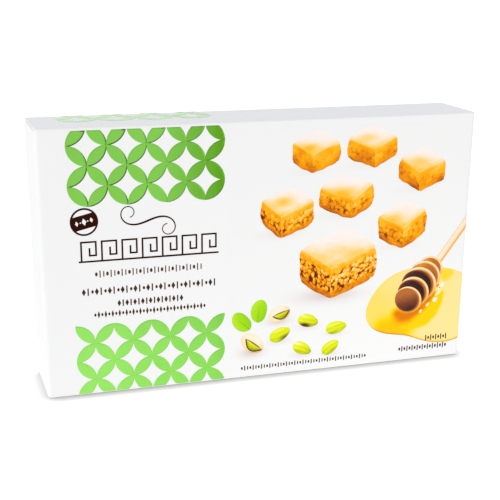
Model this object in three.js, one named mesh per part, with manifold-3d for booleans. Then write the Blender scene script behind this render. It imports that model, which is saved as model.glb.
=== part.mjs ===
// A shut folding carton of baklava, standing upright on its long narrow bottom panel.
//
// Units are millimetres and +Z is up. The origin is the centre of the bottom panel, the front
// panel faces -Y and the carton is longest along X. The board body is one solid. The foil and
// the print are thin skins that lie flat on its panels, each one a named mesh of its own.

import * as THREE from 'three';
import { mergeVertices } from 'three/addons/utils/BufferGeometryUtils.js';
import Module from 'manifold-3d';

const wasm = await Module();
wasm.setup();

// ---------------------------------------------------------------------------
// Driving dimensions
// ---------------------------------------------------------------------------

const CARTON = { width: 260, depth: 44, height: 153 };
const BOARD_THICKNESS = 0.5;

// Outer radii of the creases: the long folds between the four panels, the upright folds where
// the outer end flaps leave the front panel and the inner ones leave the back panel, and the
// short folds of the dust flaps at the top and the bottom of each end.
const LONG_FOLD_RADIUS = 1.2;
const FRONT_END_FOLD_RADIUS = 2.4;
const BACK_END_FOLD_RADIUS = 1.2;
const DUST_FLAP_FOLD_RADIUS = 0.8;

// The outer end flap stops short of the other folds, and its two free corners are cut off.
const END_FLAP = { sideMargin: 1.1, freeMargin: 2.2, cornerCut: 5 };

// The back panel's raw edge, glued over the tab of the bottom panel, leaves a fine seam.
const GLUE_SEAM = { height: 2.0, width: 0.4, depth: 0.4 };

// Thickness of the raised foil stamping and of the printed fields.
const FOIL_THICKNESS = 0.25;
const INK_THICKNESS = 0.1;

// Skins stop this far from a panel's edge, where the fold begins to curve.
const PANEL_MARGIN = LONG_FOLD_RADIUS + 0.1;

// The lattice of four-petalled rings. Its nodes stand on every second point of a square grid,
// and a petal joins each two that are diagonal neighbours. A petal is where two circles of
// petalFullness times the grid step overlap. firstRow is the distance of the first grid row
// from the panel's upper edge, and nodeParity says which of the grid points are nodes.
const PETAL_FULLNESS = 1.02;
const LATTICE_COLUMNS = 8;
const LATTICE = { step: 11.15, left: 15.4 };
const UPPER_LATTICE = { ...LATTICE, firstRow: -1.8, rows: 4, nodeParity: 1 };
const LOWER_LATTICE = { step: 11, left: 16.5, firstRow: 111.9, rows: 4, nodeParity: 0 };
const UPPER_LATTICE_CUT = 1.3;
// The lattice of the top panel starts behind its front edge and runs on over the rear fold.
const TOP_FIRST_ROW = 19.5;
const TOP_LATTICE = { ...LATTICE, firstRow: TOP_FIRST_ROW, rows: 2, nodeParity: 1 };
const BACK_FIRST_ROW = TOP_FIRST_ROW + 2 * LATTICE.step - CARTON.depth;
const BACK_LATTICE = { ...LATTICE, firstRow: BACK_FIRST_ROW, rows: 4, nodeParity: 1 };

// Places on the front panel, as distances from its left edge and from its upper edge.
const SEAL = { x: 23.8, down: 51.4, radius: 7.9, rim: 1.1, bandHalfHeight: 4.0, tilt: 13 };
const KEY_FRIEZE = { x: 60.5, down: 68.6, unit: 11.6, units: 7, height: 12.2, stroke: 1 };

const PASTRIES = [
  { x: 160, down: 19, width: 30, height: 26, lean: 0.5 },
  { x: 195, down: 17.5, width: 32, height: 26, lean: -0.4 },
  { x: 228, down: 32, width: 31, height: 28, lean: 0.3 },
  { x: 180, down: 45.5, width: 35, height: 28, lean: -0.7 },
  { x: 143, down: 53, width: 33, height: 31, lean: 0.8 },
  { x: 217, down: 65, width: 32, height: 32, lean: -0.2 },
  { x: 176, down: 87, width: 50, height: 46, lean: 0.6 },
];
// Shares of a pastry slice's width and height.
const SLICE = { sideHeight: 0.22, sideLean: 0.05, cornerLean: 0.15, frontHeight: -0.06, thickness: 0.44 };

const KERNELS = [
  { x: 139.5, down: 128.5, length: 14, width: 8.4, turn: 24 },
  { x: 157.5, down: 121.5, length: 13.5, width: 8.2, turn: -16 },
  { x: 176, down: 127.5, length: 13.5, width: 8, turn: 8 },
  { x: 154, down: 139, length: 13, width: 7.6, turn: -28 },
  { x: 172.5, down: 140, length: 12.5, width: 7.6, turn: 34 },
];
const OPEN_NUTS = [
  { x: 122, down: 132.5, length: 16, width: 11, turn: -38 },
  { x: 139, down: 115.5, length: 14, width: 9.6, turn: 18 },
];
const LEAVES = [
  { x: 115.4, down: 118.4, length: 14.5, width: 9.8, turn: 134 },
  { x: 126.4, down: 112.6, length: 14.5, width: 10, turn: 80 },
];

// The honey pool's outline is an oval whose radius swells and shrinks in a few soft waves.
const HONEY_POOL = { x: 231, down: 119, radiusX: 37, radiusUp: 26.5, points: 48 };
const HONEY_WAVES = [
  { count: 1, size: 0.15, phase: -0.26 },
  { count: 2, size: 0.11, phase: 0.57 },
  { count: 3, size: 0.054, phase: 2.12 },
  { count: 4, size: 0.03, phase: -2.18 },
];
// The dipper's head is a row of round ribs seen aslant, so each is an oval whose depth is a
// share of its length. A core joins them, and the handle runs up to the right edge.
const DIPPER = {
  x: 223.7, down: 114, slope: 54, ribPitch: 6, ribLengths: [19, 21.6, 24, 21.8, 17],
  ribDepthShare: 0.86, coreWidth: 12, handleWidth: 5, handleLength: 66,
};
const INK_GAP = 0.3;

// ---------------------------------------------------------------------------
// Materials
// ---------------------------------------------------------------------------

const material = (name, color, roughness, metalness = 0) =>
  new THREE.MeshStandardMaterial({ name, color, roughness, metalness, flatShading: true });

const boardWhite = material('board_white', 0xf3f3f2, 0.42);
const foilGreen = material('foil_green', 0x6cc63a, 0.28, 0.9);
const inkBrown = material('ink_brown', 0x3c1e14, 0.45);
const inkPastry = material('ink_pastry', 0xf3b04a, 0.45);
const inkHoney = material('ink_honey', 0xf9d25a, 0.4);
const inkWood = material('ink_wood', 0xb06a2c, 0.45);
const inkKernel = material('ink_kernel', 0xa9bf1e, 0.45);
const inkShell = material('ink_shell', 0xf0cfa4, 0.45);
const inkLeaf = material('ink_leaf', 0x8fd41a, 0.45);

// ---------------------------------------------------------------------------
// Solids and outlines
// ---------------------------------------------------------------------------

/** Turns a closed three.js geometry into a manifold solid. */
function solidFrom(geometry) {
  const bare = geometry.clone();
  bare.deleteAttribute('normal');
  bare.deleteAttribute('uv');
  const merged = mergeVertices(bare, 1e-5);
  return new wasm.Manifold(new wasm.Mesh({
    numProp: 3,
    vertProperties: new Float32Array(merged.attributes.position.array),
    triVerts: new Uint32Array(merged.index.array),
  }));
}

/** Turns a manifold solid back into an indexed three.js geometry. */
function geometryFrom(solid) {
  const { vertProperties, triVerts, numProp } = solid.getMesh();
  if (numProp !== 3) throw new Error('positions only');
  const geometry = new THREE.BufferGeometry();
  geometry.setAttribute('position', new THREE.BufferAttribute(new Float32Array(vertProperties), 3));
  geometry.setIndex(new THREE.BufferAttribute(new Uint32Array(triVerts), 1));
  geometry.computeVertexNormals();
  return geometry;
}

/** An axis-aligned block between two corners, as a solid. */
function block([x0, y0, z0], [x1, y1, z1]) {
  const box = new THREE.BoxGeometry(x1 - x0, y1 - y0, z1 - z0);
  return solidFrom(box.translate((x0 + x1) / 2, (y0 + y1) / 2, (z0 + z1) / 2));
}

/** A prism of a closed shape, from 0 up to a thickness along +Z, as a geometry. */
function prism(shape, thickness, arcSegments = 3) {
  return new THREE.ExtrudeGeometry(shape, {
    depth: thickness, bevelEnabled: false, curveSegments: arcSegments, steps: 1,
  });
}

// Exact turns of a prism drawn in X and Y: columns say where its X, Y and Z go.
const basis = (x, y, z) =>
  new THREE.Matrix4().makeBasis(new THREE.Vector3(...x), new THREE.Vector3(...y), new THREE.Vector3(...z));
const ALONG_X = basis([0, 1, 0], [0, 0, 1], [1, 0, 0]);
const OUT_OF_FRONT = basis([1, 0, 0], [0, 0, 1], [0, -1, 0]);
const OUT_OF_BACK = basis([-1, 0, 0], [0, 0, 1], [0, 1, 0]);
// The top panel's drawing runs from its front edge, so "down" on it is towards +Y.
const OUT_OF_TOP = basis([1, 0, 0], [0, 1, 0], [0, 0, 1]);

/** A rectangle from (0, 0) to (width, height) with a radius of its own at each corner. */
function roundedRectangle(width, height, { lowLeft, lowRight, highRight, highLeft }) {
  const shape = new THREE.Shape();
  const quarter = Math.PI / 2;
  shape.absarc(lowLeft, lowLeft, lowLeft, 2 * quarter, 3 * quarter);
  shape.absarc(width - lowRight, lowRight, lowRight, 3 * quarter, 4 * quarter);
  shape.absarc(width - highRight, height - highRight, highRight, 0, quarter);
  shape.absarc(highLeft, height - highLeft, highLeft, quarter, 2 * quarter);
  shape.closePath();
  return shape;
}

/** An ellipse of a length and a width, turned by an angle in degrees about its centre. */
function ellipse(x, y, length, width, turn) {
  const shape = new THREE.Shape();
  shape.absellipse(x, y, length / 2, width / 2, 0, 2 * Math.PI, false, THREE.MathUtils.degToRad(turn));
  return shape;
}

/** The overlap of two equal circles: a pointed petal along a direction given in degrees. */
function petal(x, y, circleRadius, centreOffset, turn) {
  const shape = new THREE.Shape();
  const halfAngle = Math.acos(centreOffset / circleRadius);
  const across = THREE.MathUtils.degToRad(turn + 90);
  const dx = centreOffset * Math.cos(across);
  const dy = centreOffset * Math.sin(across);
  shape.absarc(x - dx, y - dy, circleRadius, across - halfAngle, across + halfAngle);
  shape.absarc(x + dx, y + dy, circleRadius, across + Math.PI - halfAngle, across + Math.PI + halfAngle);
  shape.closePath();
  return shape;
}

/** A petal of a given length and greatest width. */
function leafShape(x, y, length, width, turn) {
  const radius = (length * length + width * width) / (4 * width);
  return petal(x, y, radius, radius - width / 2, turn);
}

// ---------------------------------------------------------------------------
// The board body
// ---------------------------------------------------------------------------

/** The closed carton: a long tube of four panels whose ends are shut by glued flaps. */
function cartonBody() {
  const { width, depth, height } = CARTON;
  const longFold = LONG_FOLD_RADIUS;
  const dustFold = DUST_FLAP_FOLD_RADIUS;

  const tube = prism(roundedRectangle(depth, height, {
    lowLeft: longFold, lowRight: longFold, highRight: longFold, highLeft: longFold,
  }), width).applyMatrix4(ALONG_X).translate(-width / 2, -depth / 2, 0);
  const plan = prism(roundedRectangle(width, depth, {
    lowLeft: FRONT_END_FOLD_RADIUS, lowRight: FRONT_END_FOLD_RADIUS,
    highRight: BACK_END_FOLD_RADIUS, highLeft: BACK_END_FOLD_RADIUS,
  }), height, 4).translate(-width / 2, -depth / 2, 0);
  const elevation = prism(roundedRectangle(width, height, {
    lowLeft: dustFold, lowRight: dustFold, highRight: dustFold, highLeft: dustFold,
  }), depth, 2).applyMatrix4(OUT_OF_FRONT).translate(-width / 2, depth / 2, 0);

  let body = solidFrom(tube).intersect(solidFrom(plan)).intersect(solidFrom(elevation));
  for (const side of [-1, 1]) body = body.subtract(endFlapRebate(side));
  return body.subtract(glueSeam());
}

/** The step round the free edges of one end's outer flap, one board thickness deep. */
function endFlapRebate(side) {
  const { width, depth, height } = CARTON;
  const { sideMargin, freeMargin, cornerCut } = END_FLAP;
  const free = depth - freeMargin;
  const top = height - sideMargin;
  const flush = width / 2 - BOARD_THICKNESS;
  const reach = 1;

  // The flap hangs on the front fold, so its outline runs on past that edge.
  const flap = new THREE.Shape([
    new THREE.Vector2(0, sideMargin), new THREE.Vector2(free - cornerCut, sideMargin),
    new THREE.Vector2(free, sideMargin + cornerCut), new THREE.Vector2(free, top - cornerCut),
    new THREE.Vector2(free - cornerCut, top), new THREE.Vector2(0, top),
  ]);
  const flapSolid = solidFrom(prism(flap, 2 * (BOARD_THICKNESS + reach))).translate([0, 0, -reach]);
  const face = block(
    [FRONT_END_FOLD_RADIUS, -reach, 0], [depth + reach, height + reach, BOARD_THICKNESS + reach],
  );
  const rebate = geometryFrom(face.subtract(flapSolid)).applyMatrix4(ALONG_X);
  const inner = side > 0 ? flush : -flush - BOARD_THICKNESS - reach;
  return solidFrom(rebate.translate(inner, -depth / 2, 0));
}

/** The fine groove of the lapped seam, low on the back panel. */
function glueSeam() {
  const { width, depth } = CARTON;
  const { height, width: groove, depth: sunk } = GLUE_SEAM;
  return block([-width, depth / 2 - sunk, height], [width, depth / 2 + 1, height + groove]);
}

// ---------------------------------------------------------------------------
// The foil lattice
// ---------------------------------------------------------------------------

/** One block of the lattice between two distances down a panel, as a geometry drawn flat. */
function latticeBlock({ step, left, firstRow, rows, nodeParity }, cutTop, cutBottom, thickness) {
  const radius = PETAL_FULLNESS * step;
  const centreOffset = step / Math.SQRT2;
  const petals = [];
  for (let row = 0; row < rows; row += 1) {
    for (let column = 0; column < LATTICE_COLUMNS; column += 1) {
      const falls = (row + column) % 2 === nodeParity;
      const shape = petal(
        left + (column + 0.5) * step, -(firstRow + (row + 0.5) * step),
        radius, centreOffset, falls ? -45 : 45,
      );
      petals.push(solidFrom(prism(shape, thickness)));
    }
  }
  const window = block([0, -cutBottom, -1], [CARTON.width, -cutTop, thickness + 1]);
  return geometryFrom(wasm.Manifold.union(petals).intersect(window));
}

// ---------------------------------------------------------------------------
// The printed fields
// ---------------------------------------------------------------------------

/** The round seal: a rim and a tilted band, with a clear segment on each side of the band. */
function sealShape({ radius, rim, bandHalfHeight, tilt }) {
  const inner = radius - rim;
  const halfAngle = Math.acos(bandHalfHeight / inner);
  const shape = new THREE.Shape();
  shape.absarc(0, 0, radius, 0, 2 * Math.PI);
  for (const direction of [90, 270]) {
    const middle = THREE.MathUtils.degToRad(direction + tilt);
    const hole = new THREE.Path();
    hole.absarc(0, 0, inner, middle - halfAngle, middle + halfAngle);
    hole.closePath();
    shape.holes.push(hole);
  }
  return shape;
}

/** A running key frieze: a baseline from which a squared spiral rises in every unit. */
function keyFrieze({ unit, units, height, stroke }) {
  const bar = (x0, y0, x1, y1) => block([x0, y0, 0], [x1, y1, INK_THICKNESS]);
  const inset = unit * 0.2;
  const bars = [bar(0, 0, unit * units, stroke)];
  for (let index = 0; index < units; index += 1) {
    const left = index * unit + inset / 2;
    const right = (index + 1) * unit - inset / 2;
    const middle = (left + right) / 2 + stroke;
    const low = height * 0.28;
    const mid = height * 0.6;
    bars.push(bar(left, 0, left + stroke, height));
    bars.push(bar(left, height - stroke, right, height));
    bars.push(bar(right - stroke, low, right, height));
    bars.push(bar(middle - stroke, low, right, low + stroke));
    bars.push(bar(middle - stroke, low, middle, mid + stroke));
  }
  return wasm.Manifold.union(bars);
}

/** The outline of a lozenge-cut slice seen from a corner: its top and its two near sides. */
function sliceShape({ width, height, lean }) {
  const side = SLICE.sideHeight * height;
  const tilt = SLICE.sideLean * height * lean;
  const corner = SLICE.cornerLean * width * lean;
  const drop = SLICE.thickness * height;
  return new THREE.Shape([
    new THREE.Vector2(corner, height / 2),
    new THREE.Vector2(-width / 2, side + tilt),
    new THREE.Vector2(-width / 2, side + tilt - drop),
    new THREE.Vector2(-corner, SLICE.frontHeight * height - drop),
    new THREE.Vector2(width / 2, side - tilt - drop),
    new THREE.Vector2(width / 2, side - tilt),
  ]);
}

/** The honey pool's outline about its own centre. */
function honeyShape({ radiusX, radiusUp, points }) {
  const outline = [];
  for (let index = 0; index < points; index += 1) {
    const angle = (2 * Math.PI * index) / points;
    const swell = HONEY_WAVES.reduce(
      (sum, wave) => sum + wave.size * Math.cos(wave.count * angle + wave.phase), 1,
    );
    outline.push(new THREE.Vector2(radiusX * swell * Math.cos(angle), radiusUp * swell * Math.sin(angle)));
  }
  return new THREE.Shape(outline);
}

/** The dipper in the front panel's drawing, its outline grown all round by a clearance. */
function dipperSolid(clearance, thickness) {
  const { ribPitch, ribLengths, ribDepthShare, coreWidth, handleWidth, handleLength } = DIPPER;
  const headLength = (ribLengths.length - 1) * ribPitch;
  const parts = ribLengths.map((length, index) => ellipse(
    index * ribPitch, 0, ribDepthShare * length + 2 * clearance, length + 2 * clearance, 0,
  ));
  parts.push(ellipse(headLength / 2, 0, headLength + ribPitch, coreWidth + 2 * clearance, 0));
  const half = handleWidth / 2 + clearance;
  parts.push(new THREE.Shape([
    new THREE.Vector2(headLength, -half), new THREE.Vector2(handleLength, -half),
    new THREE.Vector2(handleLength, half), new THREE.Vector2(headLength, half),
  ]));
  const turn = new THREE.Matrix4().makeRotationZ(THREE.MathUtils.degToRad(DIPPER.slope));
  const place = new THREE.Matrix4().makeTranslation(DIPPER.x, -DIPPER.down, 0).multiply(turn);
  return wasm.Manifold.union(parts.map((shape) => solidFrom(prism(shape, thickness).applyMatrix4(place))));
}

/** What the front panel's flat part covers, as a solid that trims print to it. */
function frontTrim() {
  const right = CARTON.width - FRONT_END_FOLD_RADIUS - 0.1;
  return block([FRONT_END_FOLD_RADIUS, -CARTON.height + PANEL_MARGIN, -1], [right, -PANEL_MARGIN, 1]);
}

// ---------------------------------------------------------------------------
// Assembly
// ---------------------------------------------------------------------------

const carton = new THREE.Group();

/** Adds a mesh with a node name to a group. */
function addNode(group, name, geometry, look, [x, y, z] = [0, 0, 0]) {
  const mesh = new THREE.Mesh(geometry, look);
  mesh.name = name;
  mesh.position.set(x, y, z);
  group.add(mesh);
}

addNode(carton, 'carton', geometryFrom(cartonBody()), boardWhite);

// Each panel group has its origin at the upper left corner of its panel, seen from outside.
// The top panel's stands at its front edge.
const { width, depth, height } = CARTON;
const frontPanel = new THREE.Group();
frontPanel.position.set(-width / 2, -depth / 2, height);
const topPanel = new THREE.Group();
topPanel.position.set(-width / 2, -depth / 2, height);
const backPanel = new THREE.Group();
backPanel.position.set(width / 2, depth / 2, height);
carton.add(frontPanel, topPanel, backPanel);

addNode(frontPanel, 'foil_upper', latticeBlock(
  UPPER_LATTICE, UPPER_LATTICE_CUT, height / 2, FOIL_THICKNESS,
).applyMatrix4(OUT_OF_FRONT), foilGreen);
addNode(frontPanel, 'foil_lower', latticeBlock(
  LOWER_LATTICE, height / 2, height - PANEL_MARGIN, FOIL_THICKNESS,
).applyMatrix4(OUT_OF_FRONT), foilGreen);
// Drawn downwards, the top panel's block is turned over its front edge to run towards +Y.
const topBlock = latticeBlock(TOP_LATTICE, 0, depth - PANEL_MARGIN, FOIL_THICKNESS);
addNode(topPanel, 'foil_top', geometryFrom(
  solidFrom(topBlock).mirror([0, 1, 0]),
).applyMatrix4(OUT_OF_TOP), foilGreen);
// From behind, the same columns run from the right, so the back block is mirrored too.
const backBlock = latticeBlock(BACK_LATTICE, PANEL_MARGIN, height / 2, FOIL_THICKNESS);
addNode(backPanel, 'foil_back', geometryFrom(
  solidFrom(backBlock).mirror([1, 0, 0]).translate([width, 0, 0]),
).applyMatrix4(OUT_OF_BACK), foilGreen);

/** Adds one printed field to the front panel from an outline about its own centre. */
function addPrint(name, shape, look, place, arcSegments = 3) {
  const geometry = prism(shape, INK_THICKNESS, arcSegments).applyMatrix4(OUT_OF_FRONT);
  addNode(frontPanel, name, geometry, look, [place.x, 0, -place.down]);
}

addPrint('print_seal', sealShape(SEAL), inkBrown, SEAL, 12);
addNode(
  frontPanel, 'print_key_frieze',
  geometryFrom(keyFrieze(KEY_FRIEZE)).applyMatrix4(OUT_OF_FRONT), inkBrown,
  [KEY_FRIEZE.x - (KEY_FRIEZE.unit * KEY_FRIEZE.units) / 2, 0, -KEY_FRIEZE.down - KEY_FRIEZE.height / 2],
);
/** Numbers the nodes of a repeated motif and adds each at its place. */
function addPrints(prefix, places, outline, look, arcSegments) {
  places.forEach((place, index) => {
    addPrint(`${prefix}_${index + 1}`, outline(place), look, place, arcSegments);
  });
}

const ovalAt = ({ length, width: across, turn }) => ellipse(0, 0, length, across, turn);
const leafAt = ({ length, width: across, turn }) => leafShape(0, 0, length, across, turn);
addPrints('print_pastry', PASTRIES, sliceShape, inkPastry);
addPrints('print_kernel', KERNELS, ovalAt, inkKernel, 8);
addPrints('print_open_nut', OPEN_NUTS, ovalAt, inkShell, 8);
addPrints('print_leaf', LEAVES, leafAt, inkLeaf, 4);

const pool = solidFrom(prism(honeyShape(HONEY_POOL), INK_THICKNESS))
  .translate([HONEY_POOL.x, -HONEY_POOL.down, 0]);
const dipperRoom = dipperSolid(INK_GAP, 1).translate([0, 0, -0.5]);
// The ribs cut slivers off at the pool's upper edge, so only its largest piece is kept.
const [pooled] = pool.intersect(frontTrim()).subtract(dipperRoom).decompose()
  .sort((first, second) => second.volume() - first.volume());
addNode(frontPanel, 'print_honey_pool', geometryFrom(pooled).applyMatrix4(OUT_OF_FRONT), inkHoney);
const dipper = dipperSolid(0, INK_THICKNESS).intersect(frontTrim());
addNode(frontPanel, 'print_dipper', geometryFrom(dipper).applyMatrix4(OUT_OF_FRONT), inkWood);

export default carton;
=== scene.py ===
"""A shut folding carton of baklava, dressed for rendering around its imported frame.

The board sleeve, the end flaps, the raised foil lattices and the printed fields all lie on one
surface, the carton's wrap. Lengths are in millimetres until a mesh is made. A place on the front
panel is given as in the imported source: x from its left edge and down from its upper edge. What is
printed past the right-hand fold ends at PRINT_END.
"""

from __future__ import annotations

import logging
import math
from dataclasses import dataclass, field, replace
from enum import Enum
from typing import Sequence

import bpy
import numpy as np
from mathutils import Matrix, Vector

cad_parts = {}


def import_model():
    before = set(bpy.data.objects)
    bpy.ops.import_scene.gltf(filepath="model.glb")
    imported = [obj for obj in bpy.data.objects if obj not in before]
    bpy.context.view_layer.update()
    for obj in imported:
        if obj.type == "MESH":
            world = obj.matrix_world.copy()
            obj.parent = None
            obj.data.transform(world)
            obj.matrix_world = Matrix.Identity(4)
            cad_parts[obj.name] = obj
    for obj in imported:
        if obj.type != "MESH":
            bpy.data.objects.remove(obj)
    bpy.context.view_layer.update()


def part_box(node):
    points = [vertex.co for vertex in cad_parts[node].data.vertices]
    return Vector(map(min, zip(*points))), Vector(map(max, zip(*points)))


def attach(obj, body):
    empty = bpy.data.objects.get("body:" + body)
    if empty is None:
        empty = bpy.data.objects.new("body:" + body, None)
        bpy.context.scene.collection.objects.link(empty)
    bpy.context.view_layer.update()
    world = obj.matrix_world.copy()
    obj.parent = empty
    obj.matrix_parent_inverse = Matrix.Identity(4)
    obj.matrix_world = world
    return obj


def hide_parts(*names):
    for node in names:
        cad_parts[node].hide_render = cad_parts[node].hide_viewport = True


logging.basicConfig(level=logging.INFO, format="%(message)s")
LOG = logging.getLogger("carton")

Colour = tuple[float, float, float]
Point = tuple[float, float, float]
Material = bpy.types.Material
Socket = bpy.types.NodeSocket
Tree = bpy.types.NodeTree

MM = 0.001
HALF_WIDTH = 130.0
PRINT_END = 262.25
SEED = 20


# --- Small helpers ---


def srgb(red: float, green: float, blue: float) -> Colour:
    """Linear colour of an 8-bit screen colour: ((c + 0.055) / 1.055) to the power 2.4."""
    screen = np.array([red, green, blue]) / 255.0
    linear = np.where(screen <= 0.04045, screen / 12.92, ((screen + 0.055) / 1.055) ** 2.4)
    return tuple(float(value) for value in linear)


def smooth_step(value: np.ndarray, low: float = 0.0, high: float = 1.0) -> np.ndarray:
    """Rises from 0 at low to 1 at high as 3 s squared less 2 s cubed."""
    share = np.clip((value - low) / (high - low), 0.0, 1.0)
    return share * share * (3.0 - 2.0 * share)


def hump(value: np.ndarray) -> np.ndarray:
    """A parabola that is 0 at 0 and at 1, and 1 half way: 4 a (1 - a)."""
    return 4.0 * value * (1.0 - value)


def bell(value: np.ndarray, width: float) -> np.ndarray:
    """A bell shape that is 1 at 0: e to the power of minus the square of value over width."""
    return np.exp(-((value / width) ** 2))


def unit_grid(columns: int, rows: int) -> tuple[np.ndarray, np.ndarray]:
    """Two arrays of shares from 0 to 1, the first along the columns, the second along the rows.

    Args:
        columns: points along the first share.
        rows: points along the second.

    Returns:
        The two shares, each of shape (columns, rows).
    """
    return np.meshgrid(np.linspace(0.0, 1.0, columns), np.linspace(0.0, 1.0, rows), indexing="ij")


def centred_grid(columns: int, rows: int) -> tuple[np.ndarray, np.ndarray]:
    """Two arrays of coordinates from -1 to 1, the first along the columns."""
    u, v = unit_grid(columns, rows)
    return 2.0 * u - 1.0, 2.0 * v - 1.0


def turned(x: np.ndarray, y: np.ndarray, degrees: float) -> tuple[np.ndarray, np.ndarray]:
    """Turns x and y anticlockwise about the origin."""
    cosine = math.cos(math.radians(degrees))
    sine = math.sin(math.radians(degrees))
    return x * cosine - y * sine, x * sine + y * cosine


# --- The carton's outside as one surface ---


class Side(Enum):
    """The four panels in the order in which the wrap runs round them."""

    FRONT = 0
    TOP = 1
    BACK = 2
    BOTTOM = 3


@dataclass(frozen=True)
class CartonWrap:
    """The outside of the board, which carries the foil and the print.

    The wrap coordinate q runs up the front panel from its bottom edge, back over the top, down
    the back and along the bottom, as if the folds were sharp.
    """

    half_length: float = 129.92
    depth: float = 44.0
    height: float = 153.0
    fold_radius: float = 1.0
    front_end_radius: float = 2.4
    back_end_radius: float = 1.2
    dust_radius: float = 0.8
    bows: tuple[float, float, float, float] = (0.35, 0.22, 0.35, 0.15)
    sag: float = 0.1
    ripple: float = 0.07
    print_middle: tuple[float, float] = (118.7, 59.9)
    print_share: float = 0.9906

    @property
    def starts(self) -> np.ndarray:
        """The wrap coordinate at which each panel starts, and the whole way round."""
        sides = [self.height, self.depth, self.height, self.depth]
        return np.concatenate([[0.0], np.cumsum(sides)])

    def section(self, q: np.ndarray) -> tuple[np.ndarray, np.ndarray, np.ndarray, np.ndarray]:
        """The cross-section's outline: four flats joined by arcs of the fold radius.

        Near a corner the signed distance from it, over the radius, turns the normal from the
        panel before to the panel after, and the point is the arc's centre plus radius times it.

        Args:
            q: wrap coordinates.

        Returns:
            Points (y, z), outward normals (y, z), each point's panel and its share along it.
        """
        starts = self.starts
        lengths = np.diff(starts)
        half = self.depth / 2.0
        corners = np.array([[-half, 0.0], [-half, self.height], [half, self.height], [half, 0.0]])
        travel = np.array([[0.0, 1.0], [1.0, 0.0], [0.0, -1.0], [-1.0, 0.0]])
        outward = np.array([[-1.0, 0.0], [0.0, 1.0], [1.0, 0.0], [0.0, -1.0]])

        around = np.mod(q, starts[-1])
        panel = np.clip(np.searchsorted(starts, around, side="right") - 1, 0, 3)
        along = around - starts[panel]
        flat = corners[panel] + travel[panel] * along[..., None]

        first_half = along < lengths[panel] / 2.0
        near = np.where(first_half, panel, (panel + 1) % 4)
        offset = np.where(first_half, along, along - lengths[panel])
        turn = np.clip((offset / self.fold_radius + 1.0) * math.pi / 4.0, 0.0, math.pi / 2.0)
        before = outward[(near - 1) % 4]
        after = outward[near]
        arc_normal = before * np.cos(turn)[..., None] + after * np.sin(turn)[..., None]
        arc = corners[near] - self.fold_radius * (before + after) + self.fold_radius * arc_normal
        in_arc = (np.abs(offset) < self.fold_radius)[..., None]
        points = np.where(in_arc, arc, flat)
        normals = np.where(in_arc, arc_normal, outward[panel])
        return points, normals, panel, along / lengths[panel]

    def slack(self, x: np.ndarray, panel: np.ndarray, share: np.ndarray) -> np.ndarray:
        """How far a panel stands inside its flat: its bow, with a few long soft ripples.

        Args:
            x: places along the carton from its middle.
            panel: each point's panel.
            share: each point's share along its panel.

        Returns:
            The inward distance, 0 at every fold.
        """
        body = hump(share) * (1.0 - (x / self.half_length) ** 2)
        wave = np.sin(x / 19.0 + 3.1 * share + panel) * np.cos(5.3 * share - x / 47.0)
        return body * (np.array(self.bows)[panel] + self.ripple * wave)

    def sagged(self, z: np.ndarray, x: np.ndarray) -> np.ndarray:
        """Heights drawn down by a share of the sag that is all of it at the middle, 0 at the ends."""
        return z * (1.0 - self.sag / self.height * (1.0 - (x / self.half_length) ** 2))

    def place(self, x: np.ndarray, q: np.ndarray, lift: np.ndarray | float = 0.0) -> np.ndarray:
        """Points on the wrap, or a lift above it.

        On the front panel, places past the upright end folds follow the fold's arc and then run
        along the carton's end.

        Args:
            x: places along the carton from its middle, measured along the board.
            q: wrap coordinates.
            lift: height above the board.

        Returns:
            An array of points with x, y and z in its last axis.
        """
        x, q, lift = np.broadcast_arrays(np.asarray(x, float), np.asarray(q, float), lift)
        inside = np.clip(x, -self.half_length, self.half_length)
        points, normals, panel, share = self.section(q)
        out = lift - self.slack(inside, panel, share)
        flat_y = points[..., 0] + normals[..., 0] * out
        z = points[..., 1] + normals[..., 1] * out
        z = self.sagged(z, inside)

        radius = self.front_end_radius
        past = np.abs(x) - (self.half_length - radius)
        turn = np.clip(past / radius, 0.0, math.pi / 2.0)
        beyond = np.maximum(past - radius * math.pi / 2.0, 0.0)
        end_x = np.sign(x) * (self.half_length - radius + (radius + lift) * np.sin(turn))
        end_y = radius - (radius + lift) * np.cos(turn) + beyond - self.depth / 2.0
        over_end = (past > 0.0) & (panel == Side.FRONT.value)
        return np.stack([np.where(over_end, end_x, x), np.where(over_end, end_y, flat_y), z], axis=-1)

    def front(self, x: np.ndarray, down: np.ndarray, lift: np.ndarray | float = 0.0) -> np.ndarray:
        """Points of the front panel from x and down in its drawing, printed a little smaller."""
        middle_x, middle_down = self.print_middle
        printed_x = middle_x + (np.asarray(x) - middle_x) * self.print_share
        printed_down = middle_down + (np.asarray(down) - middle_down) * self.print_share
        return self.place(printed_x - HALF_WIDTH, self.height - printed_down, lift)


WRAP = CartonWrap()


# --- Meshes ---


def slab_faces(columns: int, rows: int) -> np.ndarray:
    """Quads of a closed slab over a grid: its top, its underside and its four walls.

    Args:
        columns: points along the grid's first axis.
        rows: points along its second axis.

    Returns:
        Vertex numbers (faces, 4). The top grid's vertices come first, then the underside's.
    """
    index = np.arange(columns * rows).reshape(columns, rows)
    top = np.stack([index[:-1, :-1], index[1:, :-1], index[1:, 1:], index[:-1, 1:]], axis=-1)
    top = top.reshape(-1, 4)
    rim = np.concatenate([index[:-1, 0], index[-1, :-1], index[:0:-1, -1], index[0, :0:-1]])
    following = np.roll(rim, -1)
    below = columns * rows
    wall = np.stack([following, rim, rim + below, following + below], axis=-1)
    return np.concatenate([top, top[:, ::-1] + below, wall])


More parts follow.
